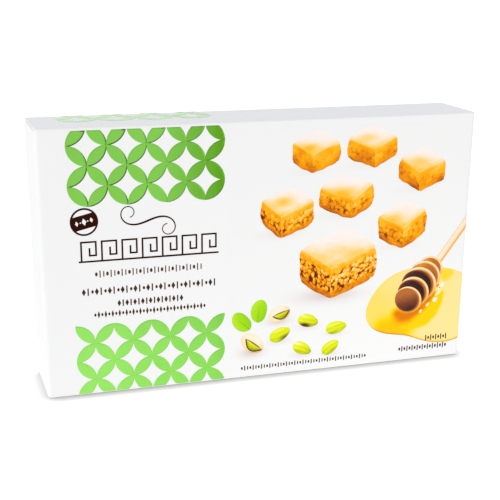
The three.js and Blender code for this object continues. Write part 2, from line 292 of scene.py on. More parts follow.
@dataclass
class Skin:
    """One closed slab: grids of its upper and lower points, its numbers and its ink.

    Attributes:
        top: upper points (columns, rows, 3).
        base: lower points of the same shape.
        numbers: named grids that the finish reads, such as tone and cover.
        ink: number of the material slot.
    """

    top: np.ndarray
    base: np.ndarray
    numbers: dict[str, np.ndarray] = field(default_factory=dict)
    ink: int = 0

    def faces(self) -> np.ndarray:
        """The slab's quads, turned round where the grid runs the other way."""
        columns, rows = self.top.shape[:2]
        quads = slab_faces(columns, rows)
        edge_a = self.top[1:, :-1] - self.top[:-1, :-1]
        edge_b = self.top[:-1, 1:] - self.top[:-1, :-1]
        outward = (np.cross(edge_a, edge_b) * (self.top - self.base)[:-1, :-1]).sum()
        return quads if outward > 0.0 else quads[:, ::-1]


def build_mesh(
    name: str, skins: Sequence[Skin], finishes: Sequence[Material], sharp_degrees: float = 40.0
) -> bpy.types.Object:
    """Joins closed slabs into one object at the world's origin.

    Args:
        name: name of the piece.
        skins: the slabs, in millimetres.
        finishes: materials, in the order of the skins' ink numbers.
        sharp_degrees: edges that turn by more stay sharp.

    Returns:
        The new object.
    """
    points: list[np.ndarray] = []
    faces: list[np.ndarray] = []
    keys = sorted({key for skin in skins for key in skin.numbers})
    numbers: dict[str, list[np.ndarray]] = {key: [] for key in keys}
    count = 0
    for skin in skins:
        faces.append(skin.faces() + count)
        points += [skin.top.reshape(-1, 3), skin.base.reshape(-1, 3)]
        shape = skin.top.shape[:2]
        count += 2 * shape[0] * shape[1]
        for key in keys:
            grid = np.broadcast_to(skin.numbers.get(key, np.zeros(shape)), shape).ravel()
            numbers[key] += [grid, grid]
    inks = np.concatenate([np.full(len(quads), skin.ink) for quads, skin in zip(faces, skins)])
    joined = {key: np.concatenate(grids) for key, grids in numbers.items()}
    quads = np.concatenate(faces).tolist()
    piece = make_piece(name, np.concatenate(points), quads, finishes, joined, sharp_degrees)
    piece.data.polygons.foreach_set("material_index", inks.astype(np.int32))
    return piece


def make_piece(
    name: str,
    points: np.ndarray,
    faces: list[list[int]],
    finishes: Sequence[Material],
    numbers: dict[str, np.ndarray],
    sharp_degrees: float = 40.0,
) -> bpy.types.Object:
    """Makes a smooth-shaded object at the world's origin and links it to the scene.

    Args:
        name: name of the piece.
        points: vertices in millimetres (count, 3).
        faces: each face's vertex numbers.
        finishes: materials.
        numbers: named values, one for each vertex, that the finish reads.
        sharp_degrees: edges that turn by more stay sharp.

    Returns:
        The new object.
    """
    mesh = bpy.data.meshes.new(name)
    mesh.from_pydata(points * MM, [], faces)
    mesh.polygons.foreach_set("use_smooth", np.ones(len(mesh.polygons), bool))
    mesh.set_sharp_from_angle(angle=math.radians(sharp_degrees))
    mesh.update()
    for finish in finishes:
        mesh.materials.append(finish)
    for key, values in numbers.items():
        attribute = mesh.attributes.new(key, "FLOAT", "POINT")
        attribute.data.foreach_set("value", values.astype(np.float32))
    return link_object(name, mesh)


def link_object(name: str, content: bpy.types.ID) -> bpy.types.Object:
    """A new object of a mesh, a light or a camera, linked to the scene."""
    holder = bpy.data.objects.new(name, content)
    bpy.context.scene.collection.objects.link(holder)
    return holder


def join_frame(piece: bpy.types.Object, slot: str, *nodes: str) -> None:
    """Hangs a piece on the carton's body, in place of CAD nodes, and reports it.

    Args:
        piece: the finished piece.
        slot: name of the record's material slot; not used.
        nodes: CAD nodes that the piece stands for.
    """
    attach(piece, "root")
    if nodes:
        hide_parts(*nodes)
    LOG.info("%s: %d faces", piece.name, len(piece.data.polygons))


# --- Shader node groups and finishes ---


class NodeWork:
    """A node tree with short ways to add to it."""

    def __init__(self, tree: Tree) -> None:
        """Takes the tree to add to."""
        self.tree = tree

    def add(self, kind: str, **settings: object) -> bpy.types.Node:
        """Adds a node and sets its own properties.

        Args:
            kind: the node's type name, less the words that all of them start with.
            settings: properties of the node, by name.

        Returns:
            The new node.
        """
        node = self.tree.nodes.new("ShaderNode" + kind)
        for name, value in settings.items():
            setattr(node, name, value)
        return node

    def feed(self, entry: Socket, value: object) -> None:
        """Links a socket to a node's entry, or sets the entry to a number or a colour."""
        if isinstance(value, Socket):
            self.tree.links.new(value, entry)
        else:
            entry.default_value = (*value, 1.0) if isinstance(value, tuple) else value

    def math(self, operation: str, *values: object, clamp: bool = False) -> Socket:
        """Adds a math node between sockets or numbers.

        Args:
            operation: the math node's operation.
            values: sockets or numbers, in the order of the node's entries.
            clamp: whether the result is held between 0 and 1.

        Returns:
            The result's socket.
        """
        node = self.add("Math", operation=operation, use_clamp=clamp)
        for entry, value in zip(node.inputs, values):
            self.feed(entry, value)
        return node.outputs[0]

    def mix(self, share: Socket, first: object, second: object) -> Socket:
        """Mixes a first colour with a second by a share, and returns the result."""
        node = self.add("Mix", data_type="RGBA")
        for number, value in ((0, share), (6, first), (7, second)):
            self.feed(node.inputs[number], value)
        return node.outputs[2]

    def noise(self, vector: Socket, scale: object, detail: float) -> Socket:
        """Adds a noise texture on a vector, and returns its value."""
        node = self.add("TexNoise")
        for name, value in (("Scale", scale), ("Detail", detail), ("Vector", vector)):
            self.feed(node.inputs[name], value)
        return node.outputs["Fac"]

    def attribute(self, name: str) -> Socket:
        """The value of a piece's named attribute."""
        return self.add("Attribute", attribute_name=name).outputs["Fac"]

    def place(self) -> Socket:
        """The place on the object, in metres."""
        return self.add("TexCoord").outputs["Object"]


class GroupBuilder(NodeWork):
    """Builds one shader node group with named inputs and outputs."""

    def __init__(self, name: str) -> None:
        """Starts an empty group."""
        super().__init__(bpy.data.node_groups.new(name, "ShaderNodeTree"))
        self.inputs = self.tree.nodes.new("NodeGroupInput")
        self.outputs = self.tree.nodes.new("NodeGroupOutput")

    def add_input(self, name: str, default: float) -> Socket:
        """Adds a number's input with a default, and returns its socket inside the group."""
        kind = "NodeSocketFloat"
        entry = self.tree.interface.new_socket(name, in_out="INPUT", socket_type=kind)
        entry.default_value = default
        return self.inputs.outputs[name]

    def add_output(self, name: str, value: Socket) -> None:
        """Adds a number's output and links a value to it."""
        self.tree.interface.new_socket(name, in_out="OUTPUT", socket_type="NodeSocketFloat")
        self.tree.links.new(value, self.outputs.inputs[name])


class Finish(NodeWork):
    """A new material with its tree and its shader."""

    def __init__(self, name: str) -> None:
        """Starts a plain material."""
        self.material = bpy.data.materials.new(name)
        self.material.use_nodes = True
        super().__init__(self.material.node_tree)
        self.shader = self.tree.nodes["Principled BSDF"]

    def set(self, **values: object) -> None:
        """Feeds the shader's entries, named with an underscore for each space."""
        for name, value in values.items():
            self.feed(self.shader.inputs[name.replace("_", " ")], value)

    def bump(self, height: Socket, strength: float, distance: float) -> None:
        """Bumps the surface by a height, with a strength and a depth in metres."""
        node = self.add("Bump")
        for name, value in (("Strength", strength), ("Distance", distance), ("Height", height)):
            self.feed(node.inputs[name], value)
        self.set(Normal=node.outputs["Normal"])


GRAIN_NOISES = (("Fine", 1800.0, 3.0, "Height"), ("Broad", 55.0, 1.0, "Cloud"))
PAPER_BUMP = (0.02, 0.0002)


def paper_grain_group() -> Tree:
    """Fibres of coated board: a fine noise as the bump's height and a broad one as a cloud.

    Returns:
        The node group, with inputs Fine and Broad (scales per metre).
    """
    group = GroupBuilder("paper_grain")
    place = group.place()
    for name, scale, detail, result in GRAIN_NOISES:
        group.add_output(result, group.noise(place, group.add_input(name, scale), detail))
    return group.tree


@dataclass(frozen=True)
class BoardFinish:
    """White clay-coated board with faint fibres, rubbed a little along its folds."""

    name: str = "board_white"
    colour: Colour = srgb(218, 218, 217)
    cloud_colour: Colour = srgb(219, 219, 219)
    worn_colour: Colour = srgb(212, 210, 207)
    roughness: float = 0.5
    worn_roughness: float = 0.25
    gloss: float = 0.12

    def build(self, grain: Tree) -> Material:
        """Makes the material.

        Args:
            grain: the paper grain group.

        Returns:
            The board's material. It reads the attribute "wear".
        """
        finish = Finish(self.name)
        fibres = finish.add("Group", node_tree=grain)
        cloud = fibres.outputs["Cloud"]
        tint = finish.mix(cloud, self.colour, self.cloud_colour)
        rub = finish.math("MULTIPLY", finish.attribute("wear"), cloud)
        rough = finish.math("MULTIPLY_ADD", rub, self.worn_roughness, self.roughness)
        finish.set(Base_Color=finish.mix(rub, tint, self.worn_colour), Roughness=rough)
        finish.set(Specular_IOR_Level=self.gloss)
        finish.bump(fibres.outputs["Height"], *PAPER_BUMP)
        return finish.material


@dataclass(frozen=True)
class CoreFinish:
    """The cut edge of the board: pale grey-brown pulp in thin plies."""

    name: str = "board_core"
    colour: Colour = srgb(226, 223, 216)
    ply_colour: Colour = srgb(214, 209, 200)
    pulp_scale: float = 2600.0
    roughness: float = 0.85

    def build(self) -> Material:
        """Makes the material."""
        finish = Finish(self.name)
        pulp = finish.noise(finish.place(), self.pulp_scale, 3.0)
        colour = finish.mix(pulp, self.ply_colour, self.colour)
        finish.set(Base_Color=colour, Roughness=self.roughness)
        return finish.material


@dataclass(frozen=True)
class FoilFinish:
    """Green hot-stamped foil: a lacquered metal skin with a fine orange-peel surface.

    The attribute "crease" paints a near-black shadow on the pressed-in edge, and "shade" paints
    shade over the whole block in place of its reflections.
    """

    name: str = "foil_green"
    # light and deep are the ends of the painted shade's mix.
    light: Colour = srgb(139, 212, 92)
    deep: Colour = srgb(80, 146, 0)
    # A painted shadow's near-black green, for the pressed-in edges.
    crease: Colour = srgb(14, 36, 6)
    cloud_scale: float = 60.0
    cloud_shade: float = 0.16
    roughness: float = 0.26
    cloud_roughness: float = 0.12
    coat: float = 1.0
    coat_ior: float = 1.25
    coat_roughness: float = 0.12
    peel_scale: float = 420.0
    peel_bump: tuple[float, float] = (0.12, 0.0003)

    def build(self) -> Material:
        """Makes the material: a cloud moves the shade and the roughness about their means."""
        finish = Finish(self.name)
        place = finish.place()
        cloud = finish.noise(place, self.cloud_scale, 2.0)
        drift = finish.math("MULTIPLY_ADD", cloud, self.cloud_shade, -self.cloud_shade / 2.0)
        # Painted shade: the attribute and a random cloud mix the light green towards the deep one.
        deepness = finish.math("ADD", finish.attribute("shade"), drift, clamp=True)
        body = finish.mix(deepness, self.light, self.deep)
        smoothest = self.roughness - self.cloud_roughness / 2.0
        rough = finish.math("MULTIPLY_ADD", cloud, self.cloud_roughness, smoothest)
        # Painted shadow: the edge attribute mixes in the near-black green.
        finish.set(Base_Color=finish.mix(finish.attribute("crease"), body, self.crease))
        finish.set(Metallic=1.0, Roughness=rough)
        finish.set(Coat_Weight=self.coat, Coat_IOR=self.coat_ior, Coat_Roughness=self.coat_roughness)
        finish.bump(finish.noise(place, self.peel_scale, 2.0), *self.peel_bump)
        return finish.material


# --- Board ---


@dataclass(frozen=True)
class CartonSleeve:
    """The four panels as one closed tube, its ends folded in a little and capped."""

    flat_step: float = 5.0
    flat_margin: float = 2.8
    beside_fold: tuple[float, ...] = (0.0, 0.35, 0.7, 1.1, 1.6, 2.4)
    arc_steps: int = 10
    end_fold_points: int = 10
    along_points: int = 53
    cap_inset: float = 0.42
    cap_rings: int = 5
    seam_low: float = 2.0
    seam_high: float = 2.4
    seam_depth: float = 0.3
    seam_edge: float = 0.03
    seam_clearance: float = 0.2
    groove_depth: float = 0.05
    groove_place: float = 1.9
    groove_width: float = 0.55
    wear_width: float = 1.1

    def stations_around(self) -> np.ndarray:
        """Wrap coordinates: close together on the folds and at the seam, wide on the flats."""
        radius = WRAP.fold_radius
        starts = WRAP.starts
        beside = np.array(self.beside_fold)
        parts = []
        for low, high in zip(starts[:-1] + radius, starts[1:] - radius):
            steps = int((high - low) / self.flat_step) - 1
            middle = np.linspace(low + self.flat_margin, high - self.flat_margin, steps)
            arc = np.linspace(high, high + 2.0 * radius, self.arc_steps + 1)[1:-1]
            parts.append(np.concatenate([low + beside, middle, high - beside[::-1], arc]))
        q = np.concatenate(parts)
        outer_low = self.seam_low - self.seam_edge
        outer_high = self.seam_high + self.seam_edge
        seam = starts[3] - np.array([outer_high, self.seam_high, self.seam_low, outer_low])
        clear = self.seam_clearance
        q = q[(q < seam[0] - clear) | (q > seam[-1] + clear)]
        return np.sort(np.concatenate([q, seam]))

    def stations_along(self) -> np.ndarray:
        """Places along the carton, close together on the upright end folds."""
        end = WRAP.half_length - self.cap_inset
        flat_end = WRAP.half_length - WRAP.front_end_radius
        turn = np.linspace(0.0, math.pi / 2.0, self.end_fold_points)
        fold = end - (end - flat_end) * (1.0 - np.sin(turn))
        middle = np.linspace(-flat_end, flat_end, self.along_points)
        return np.concatenate([-fold[:0:-1], middle, fold[1:]])

    def drawn_in(self, x: np.ndarray, radius: float) -> np.ndarray:
        """Inward distance of an end fold: radius less the root of its square less past squared."""
        past = np.maximum(np.abs(x) - (WRAP.half_length - radius), 0.0)
        return radius - np.sqrt(radius**2 - np.minimum(past, radius) ** 2)

    def tube(self, q: np.ndarray, x: np.ndarray) -> np.ndarray:
        """The tube's points: the section at each place along, drawn in by the end folds.

        Args:
            q: wrap coordinates (around).
            x: places along the carton (along).

        Returns:
            Points (along, around, 3).
        """
        grid_x, grid_q = np.meshgrid(x, q, indexing="ij")
        points, normals, panel, share = WRAP.section(grid_q)
        starts = WRAP.starts
        from_middle = np.abs(starts[3] - grid_q - (self.seam_low + self.seam_high) / 2.0)
        in_seam = from_middle <= (self.seam_high - self.seam_low + self.seam_edge) / 2.0
        to_fold = np.min(np.abs(grid_q[..., None] - starts), axis=-1)
        pressed = bell(to_fold - self.groove_place, self.groove_width)
        sunk = self.groove_depth * pressed + self.seam_depth * in_seam
        inward = WRAP.slack(grid_x, panel, share) + sunk
        y = points[..., 0] - normals[..., 0] * inward
        z = points[..., 1] - normals[..., 1] * inward
        z = WRAP.sagged(z, grid_x)
        half = WRAP.depth / 2.0
        front = self.drawn_in(grid_x, WRAP.front_end_radius)
        back = self.drawn_in(grid_x, WRAP.back_end_radius)
        y = -half + front + (y + half) * (WRAP.depth - front - back) / WRAP.depth
        ends = self.drawn_in(grid_x, WRAP.dust_radius)
        z = ends + z * (WRAP.height - 2.0 * ends) / WRAP.height
        return np.stack([grid_x, y, z], axis=-1)

    def build(self, board: Material) -> bpy.types.Object:
        """Makes the sleeve: the tube and, at each end, rings that shrink to a small centre.

        Args:
            board: the board's material.

        Returns:
            The piece, with the attribute "wear" along its folds.
        """
        q = self.stations_around()
        x = self.stations_along()
        tube = self.tube(q, x)
        shares = np.linspace(1.0, 0.0, self.cap_rings + 1)[1:-1]
        rings = []
        for end in (0, -1):
            centre = np.array([tube[end, 0, 0], 0.0, WRAP.height / 2.0])
            rings.append(centre + (tube[end] - centre) * shares[:, None, None])
        rows = np.concatenate([rings[0][::-1], tube, rings[1]])
        shape = rows.shape[:2]
        index = np.arange(shape[0] * shape[1]).reshape(shape)
        ahead = np.roll(index, -1, axis=1)
        quads = np.stack([index[:-1], ahead[:-1], ahead[1:], index[1:]], axis=-1).reshape(-1, 4)
        faces = quads.tolist() + [index[0, ::-1].tolist(), index[-1].tolist()]
        to_fold = np.min(np.abs(q[:, None] - WRAP.starts), axis=-1)
        wear = np.broadcast_to(bell(to_fold, self.wear_width), shape).ravel()
        return make_piece("carton_sleeve", rows.reshape(-1, 3), faces, [board], {"wear": wear})


@dataclass(frozen=True)
class EndFlap:
    """The outer flap of one end: it hangs on the upright front fold and lies over the others."""

    direction: int
    side_margin: float = 1.1
    free_margin: float = 2.2
    corner_cut: float = 5.0
    thickness: float = 0.42
    inner_clearance: float = 0.02
    tuck: float = 0.09
    bulge: float = 0.05
    fold_points: int = 8
    plate_points: int = 15
    cut_points: int = 7
    rise_points: int = 40

    def build(self, board: Material, core: Material) -> bpy.types.Object:
        """Makes the flap: an arc round the fold, then a plate, as one bent slab.

        The outer face lies half_length from the middle and sinks by a small tuck towards the
        free edge. The two free corners are cut off at 45 degrees.

        Args:
            board: the coated board's material.
            core: the cut edge's material.

        Returns:
            The piece.
        """
        radius = WRAP.front_end_radius
        reach = WRAP.half_length
        start = math.asin((radius - self.thickness) / radius)
        turn = np.linspace(start, math.pi / 2.0, self.fold_points)
        arc_y = radius - radius * np.cos(turn) - WRAP.depth / 2.0
        arc_x = reach - radius + radius * np.sin(turn)
        free = WRAP.depth / 2.0 - self.free_margin
        cut_from = free - self.corner_cut
        plate_y = np.linspace(arc_y[-1], cut_from, self.plate_points)[1:]
        flat_y = np.concatenate([plate_y, np.linspace(cut_from, free, self.cut_points)[1:]])
        share = (flat_y - arc_y[-1]) / (free - arc_y[-1])
        y = np.concatenate([arc_y, flat_y])
        x = np.concatenate([arc_x, reach - self.tuck * smooth_step(share, 0.35, 1.0)])
        inner_x = np.full_like(x, reach - self.thickness - self.inner_clearance)
        cut = np.maximum(y - cut_from, 0.0)
        low = self.side_margin + cut
        high = WRAP.height - self.side_margin - cut
        rise = np.linspace(0.0, 1.0, self.rise_points)
        z = low[:, None] + (high - low)[:, None] * rise
        bowed = np.concatenate([np.zeros(self.fold_points), hump(share)])
        bulge = self.bulge * hump(rise)[None, :] * bowed[:, None]

        def sheet(plane: np.ndarray) -> np.ndarray:
            """Points of one face of the flap."""
            grids = np.broadcast_arrays(self.direction * plane, y[:, None], z)
            return np.stack(grids, axis=-1)

        outer = sheet(x[:, None] - bulge)
        skin = Skin(outer, sheet(inner_x[:, None]), {"wear": np.zeros(z.shape)})
        piece = build_mesh(
            f"end_flap_{'right' if self.direction > 0 else 'left'}", [skin], [board, core]
        )
        walls = 2 * (outer.shape[0] - 1 + outer.shape[1] - 1)
        inks = np.zeros(len(piece.data.polygons), np.int32)
        inks[-walls:] = 1
        piece.data.polygons.foreach_set("material_index", inks)
        return piece


# --- Foil lattices ---


@dataclass(frozen=True)
class FoilLattice:
    """A block of petals in rings, each petal a low embossed dome where two circles overlap.

    A petal in cell (row, column) falls to the right where row plus column has the node parity,
    and rises where it hasn't. first_row and the cuts are wrap coordinates, counted along
    direction from the origin. shade holds the block's painted shade, which stands in for the
    reflections that the foil catches: its base, what it gains to the right and what it gains in
    every shade_length along the wrap. edge_shade paints more shade at the block's right rim.
    A painted near-black shadow lies along the petals' right-facing pressed-in edges.
    """

    name: str
    step: float
    left: float
    origin: float
    direction: int
    first_row: float
    rows: int
    parity: int
    low_cut: float
    high_cut: float
    shade: Point
    shade_from: float = 62.0
    shade_to: float = 106.0
    shade_length: float = 50.0
    edge_shade: float = 0.12
    edge_shade_from: float = 97.0
    columns: int = 8
    fullness: float = 1.02
    trim: float = 0.994
    least_length: float = 0.05
    root: float = -0.12
    cut_margin: float = 0.12
    rim_lift: float = 0.05
    crown: float = 0.11
    crown_power: float = 0.8
    bevel: float = 0.75
    # The painted edge shadow: its strength, width, fade to the right, facing and reach along a
    # falling petal.
    edge_shadow_strength: float = 1.0
    edge_shadow_width: float = 0.58
    edge_shadow_fade: float = 0.55
    edge_shadow_fade_reach: tuple[float, float] = (50.0, 84.0)
    edge_shadow_facing: tuple[float, float] = (2.0, 0.6)
    edge_shadow_reach: tuple[float, float] = (-0.1, 0.55)
    across_points: int = 17
    along_points: int = 25

    def petal(self, row: int, column: int) -> Skin | None:
        """One petal as a domed slab.

        Half of the petal's length at a distance c off its axis is the root of radius squared
        less (c + h) squared, with h the offset of the two circles' centres. The lift is the
        crown times a smooth step of the distance from the edge over the bevel.

        Args:
            row: the cell's row.
            column: the cell's column.

        Returns:
            The slab, or None where the cut leaves nothing.
        """
        radius = self.fullness * self.step
        offset = self.step / math.sqrt(2.0)
        half_width = radius - offset
        falls = (row + column) % 2 == self.parity
        slope = math.sqrt(0.5)
        along_dir = (slope, slope if falls else -slope)
        across_dir = (-along_dir[1], along_dir[0])
        centre_x = self.left + (column + 0.5) * self.step
        centre_s = self.first_row + (row + 0.5) * self.step

        spread = np.sin(np.linspace(-1.0, 1.0, self.across_points) * math.pi / 2.0)
        across = self.trim * half_width * spread
        half = np.sqrt(radius**2 - (np.abs(across) + offset) ** 2)
        beside = centre_s + across * across_dir[1]
        limits = np.stack([(self.low_cut - beside), (self.high_cut - beside)]) / along_dir[1]
        low = np.maximum(-half, limits.min(axis=0))
        high = np.minimum(half, limits.max(axis=0))
        kept = high - low > self.least_length
        if kept.sum() < 2:
            return None
        across, low, high = (grid[kept] for grid in (across, low, high))
        share = 0.5 - 0.5 * np.cos(np.linspace(0.0, math.pi, self.along_points))
        along = low[:, None] + (high - low)[:, None] * share
        c = np.broadcast_to(across[:, None], along.shape)
        x = centre_x + along * along_dir[0] + c * across_dir[0]
        s = centre_s + along * along_dir[1] + c * across_dir[1]

        to_circle = radius - np.maximum(np.hypot(along, c + offset), np.hypot(along, c - offset))
        to_cut = np.minimum(s - self.low_cut, self.high_cut - s) + self.cut_margin
        edge = np.clip(np.minimum(to_circle, to_cut), 0.0, None)
        lift = self.rim_lift + self.crown * smooth_step(edge, 0.0, self.bevel) ** self.crown_power
        q = self.origin + self.direction * s
        # A painted shadow, near-black on the right-facing side of each pressed-in edge, fainter to
        # the right.
        outward_x = np.where(c > 0.0, across_dir[0], -across_dir[0])
        outward_s = np.where(c > 0.0, across_dir[1], -across_dir[1])
        facing_x, facing_s = self.edge_shadow_facing
        facing = np.clip(outward_x * facing_x + outward_s * facing_s, 0.0, 1.0)
        if falls:
            start, stop = (share * self.step for share in self.edge_shadow_reach)
            facing = facing * smooth_step(along, start, stop)
        fading = 1.0 - self.edge_shadow_fade * smooth_step(x, *self.edge_shadow_fade_reach)
        pressed = 1.0 - smooth_step(edge, 0.4 * self.edge_shadow_width, 1.6 * self.edge_shadow_width)
        crease = self.edge_shadow_strength * facing * fading * pressed
        # Painted shade in place of the foil's reflections: more to the right, along the wrap and at
        # the right rim.
        base_shade, shade_right, shade_down = self.shade
        shade = base_shade + shade_right * smooth_step(x, self.shade_from, self.shade_to)
        shade = shade + shade_down * s / self.shade_length
        shade = shade + self.edge_shade * smooth_step(x, self.edge_shade_from, self.shade_to)
        numbers = {"shade": np.clip(shade, 0.0, 1.0), "crease": crease}
        top = WRAP.place(x - HALF_WIDTH, q, lift)
        return Skin(top, WRAP.place(x - HALF_WIDTH, q, self.root), numbers)

    def build(self, foil: Material) -> bpy.types.Object:
        """Makes the whole block as one piece."""
        cells = [(row, column) for row in range(self.rows) for column in range(self.columns)]
        petals = [self.petal(row, column) for row, column in cells]
        skins = [skin for skin in petals if skin]
        return build_mesh(self.name, skins, [foil], sharp_degrees=60.0)


# --- Printed fields ---

INK_LIFT = 0.03
LEVEL_STEP = 0.005
INK_ROOT = -0.1


@dataclass(frozen=True)
class InkFinish:
    """A process ink on the board: a ramp of colours over the attribute "tone".

    A cloud of noise, thin layers and crumbs, drawn on the attributes "grain_u" and "grain_v",
    move the tone. The attributes "flake" and "crumb" say how much of the last two there is.
    """

    name: str
    ramp: tuple[tuple[float, Colour], ...]
    mottle: float = 0.12
    mottle_scale: float = 0.35
    roughness: float = 0.5
    gloss: float = 0.12
    cloud_roughness: float = 0.06

    def build(self, grain: Tree, pattern: Tree) -> Material:
        """Makes the material: the grain's cloud moves the roughness about its mean.

        Args:
            grain: the paper grain group.
            pattern: the print pattern group.

        Returns:
            The ink's material.
        """
        finish = Finish(self.name)
        drawn = finish.add("Group", node_tree=pattern)
        finish.feed(drawn.inputs["Mottle"], self.mottle)
        finish.feed(drawn.inputs["Mottle Scale"], self.mottle_scale)
        ramp = finish.add("ValToRGB")
        stops = ramp.color_ramp.elements
        for number, (place, colour) in enumerate(self.ramp):
            stop = stops[number] if number < 2 else stops.new(place)
            stop.position = place
            stop.color = (*colour, 1.0)
        finish.feed(ramp.inputs["Fac"], drawn.outputs["Tone"])
        fibres = finish.add("Group", node_tree=grain)
        smoothest = self.roughness - self.cloud_roughness / 2.0
        cloud = fibres.outputs["Cloud"]
        rough = finish.math("MULTIPLY_ADD", cloud, self.cloud_roughness, smoothest)
        finish.set(Base_Color=ramp.outputs["Color"], Roughness=rough)
        finish.set(Specular_IOR_Level=self.gloss)
        finish.bump(fibres.outputs["Height"], *PAPER_BUMP)
        return finish.material


LAYER_STRETCH = (0.16, 1.5, 1.0)
CRUMBS_PER_MM = 0.52
CRUMB_MEAN = 0.45
CRUMB_CONTRAST = 0.6
CRUMB_RADIUS = 0.46
GAP_DEPTH = 2.1


def print_pattern_group() -> Tree:
    """The tone of a print: its attribute, moved by a cloud, by thin layers and by crumbs.

    The layers are a noise stretched along "grain_u". The crumbs are cells, each with its own
    brightness, and what is further than a crumb's radius from a cell's middle is a dark gap.

    Returns:
        The node group, with inputs Mottle and Mottle Scale (per millimetre).
    """
    group = GroupBuilder("print_pattern")

    def centred(value: Socket, amount: Socket) -> Socket:
        """A value from 0 to 1 less a half, times an amount."""
        return group.math("MULTIPLY", group.math("SUBTRACT", value, 0.5), amount)

    joined = group.add("CombineXYZ")
    group.feed(joined.inputs["X"], group.attribute("grain_u"))
    group.feed(joined.inputs["Y"], group.attribute("grain_v"))
    place = joined.outputs[0]
    cloud = group.noise(place, group.add_input("Mottle Scale", 0.35), 3.0)
    clouded = centred(cloud, group.add_input("Mottle", 0.1))

    stretched = group.add("VectorMath", operation="MULTIPLY")
    stretched.inputs[1].default_value = LAYER_STRETCH
    group.feed(stretched.inputs[0], place)
    layers = group.noise(stretched.outputs[0], 1.0, 2.5)
    layered = centred(layers, group.attribute("flake"))

    cells = group.add("TexVoronoi", feature="F1")
    group.feed(cells.inputs["Scale"], CRUMBS_PER_MM)
    group.feed(cells.inputs["Randomness"], 1.0)
    group.feed(cells.inputs["Vector"], place)
    own = group.add("SeparateColor")
    group.feed(own.inputs[0], cells.outputs["Color"])
    bright = group.math("SUBTRACT", own.outputs[0], CRUMB_MEAN)
    outside = group.math("SUBTRACT", cells.outputs["Distance"], CRUMB_RADIUS)
    gap = group.math("MULTIPLY", group.math("MAXIMUM", outside, 0.0), GAP_DEPTH)
    grains = group.math("SUBTRACT", group.math("MULTIPLY", bright, CRUMB_CONTRAST), gap)
    crumbed = group.math("MULTIPLY", grains, group.attribute("crumb"))

    moved = group.math("ADD", group.math("ADD", clouded, layered), crumbed)
    tone = group.math("ADD", group.attribute("tone"), moved, clamp=True)
    group.add_output("Tone", tone)
    return group.tree


STUDIO_GAIN = 1.22
STUDIO_GLOSS = 0.01


def printed(red: float, green: float, blue: float) -> Colour:
    """Base colour that shows as a screen colour in the studio: less the gloss, over the gain."""
    linear = (np.array(srgb(red, green, blue)) - STUDIO_GLOSS) / STUDIO_GAIN
    return tuple(float(value) for value in np.clip(linear, 0.002, 1.0))


def inked(*stops: tuple[float, int, int, int]) -> tuple[tuple[float, Colour], ...]:
    """A ramp from stops that give a tone and the red, green and blue that it shows as."""
    return tuple((tone, printed(red, green, blue)) for tone, red, green, blue in stops)


class Ink(Enum):
    """The inks of the front panel, each with its ramp from the darkest tone to the lightest."""

    BROWN = InkFinish(
        name="ink_brown",
        ramp=inked((0.0, 50, 28, 8), (0.5, 60, 36, 14), (1.0, 88, 64, 42)),
        mottle=0.2, mottle_scale=0.5, gloss=0.01,
    )
    PAPER = InkFinish(
        name="ink_paper",
        ramp=inked((0.0, 236, 236, 235), (1.0, 243, 243, 243)), mottle=0.1,
    )
    PASTRY = InkFinish(
        name="ink_pastry",
        ramp=inked(
            (0.0, 104, 44, 2), (0.14, 182, 94, 2), (0.3, 234, 138, 2), (0.46, 251, 171, 8),
            (0.62, 252, 194, 60), (0.78, 252, 215, 142), (0.9, 252, 230, 202), (1.0, 248, 239, 234),
        ),
        mottle=0.18, mottle_scale=0.22, gloss=0.05,
    )
    KERNEL = InkFinish(
        name="ink_kernel",
        ramp=inked(
            (0.0, 92, 58, 20), (0.2, 122, 110, 6), (0.42, 170, 180, 4),
            (0.62, 212, 222, 6), (0.82, 232, 238, 30), (1.0, 244, 246, 190),
        ),
        mottle=0.2, mottle_scale=0.5,
    )
    SHELL = InkFinish(
        name="ink_shell",
        ramp=inked(
            (0.0, 66, 44, 18), (0.25, 170, 118, 50), (0.5, 242, 198, 132),
            (0.75, 252, 225, 186), (1.0, 252, 239, 222),
        ),
        mottle_scale=0.3,
    )
    LEAF = InkFinish(
        name="ink_leaf",
        ramp=inked((0.0, 84, 150, 6), (0.35, 132, 200, 4), (0.7, 168, 222, 4), (1.0, 198, 237, 64)),
        mottle_scale=0.3,
    )
    HONEY = InkFinish(
        name="ink_honey",
        ramp=inked(
            (0.0, 186, 122, 44), (0.14, 228, 126, 0), (0.38, 252, 184, 2), (0.56, 253, 213, 0),
            (0.72, 250, 219, 106), (0.88, 250, 227, 154), (1.0, 252, 246, 234),
        ),
        mottle=0.03, mottle_scale=0.09, roughness=0.34, gloss=0.03,
    )
    WOOD = InkFinish(
        name="ink_wood",
        ramp=inked(
            (0.0, 46, 24, 22), (0.25, 122, 66, 42), (0.48, 182, 108, 58), (0.58, 186, 108, 22),
            (0.7, 240, 170, 70), (0.85, 250, 198, 124), (1.0, 252, 233, 214),
        ),
        mottle=0.08, mottle_scale=0.4,
    )
    SHADE = InkFinish(
        name="ink_shade",
        ramp=((0.0, BoardFinish.colour), *inked((0.5, 222, 212, 208), (1.0, 158, 140, 134))),
        mottle=0.0,
    )


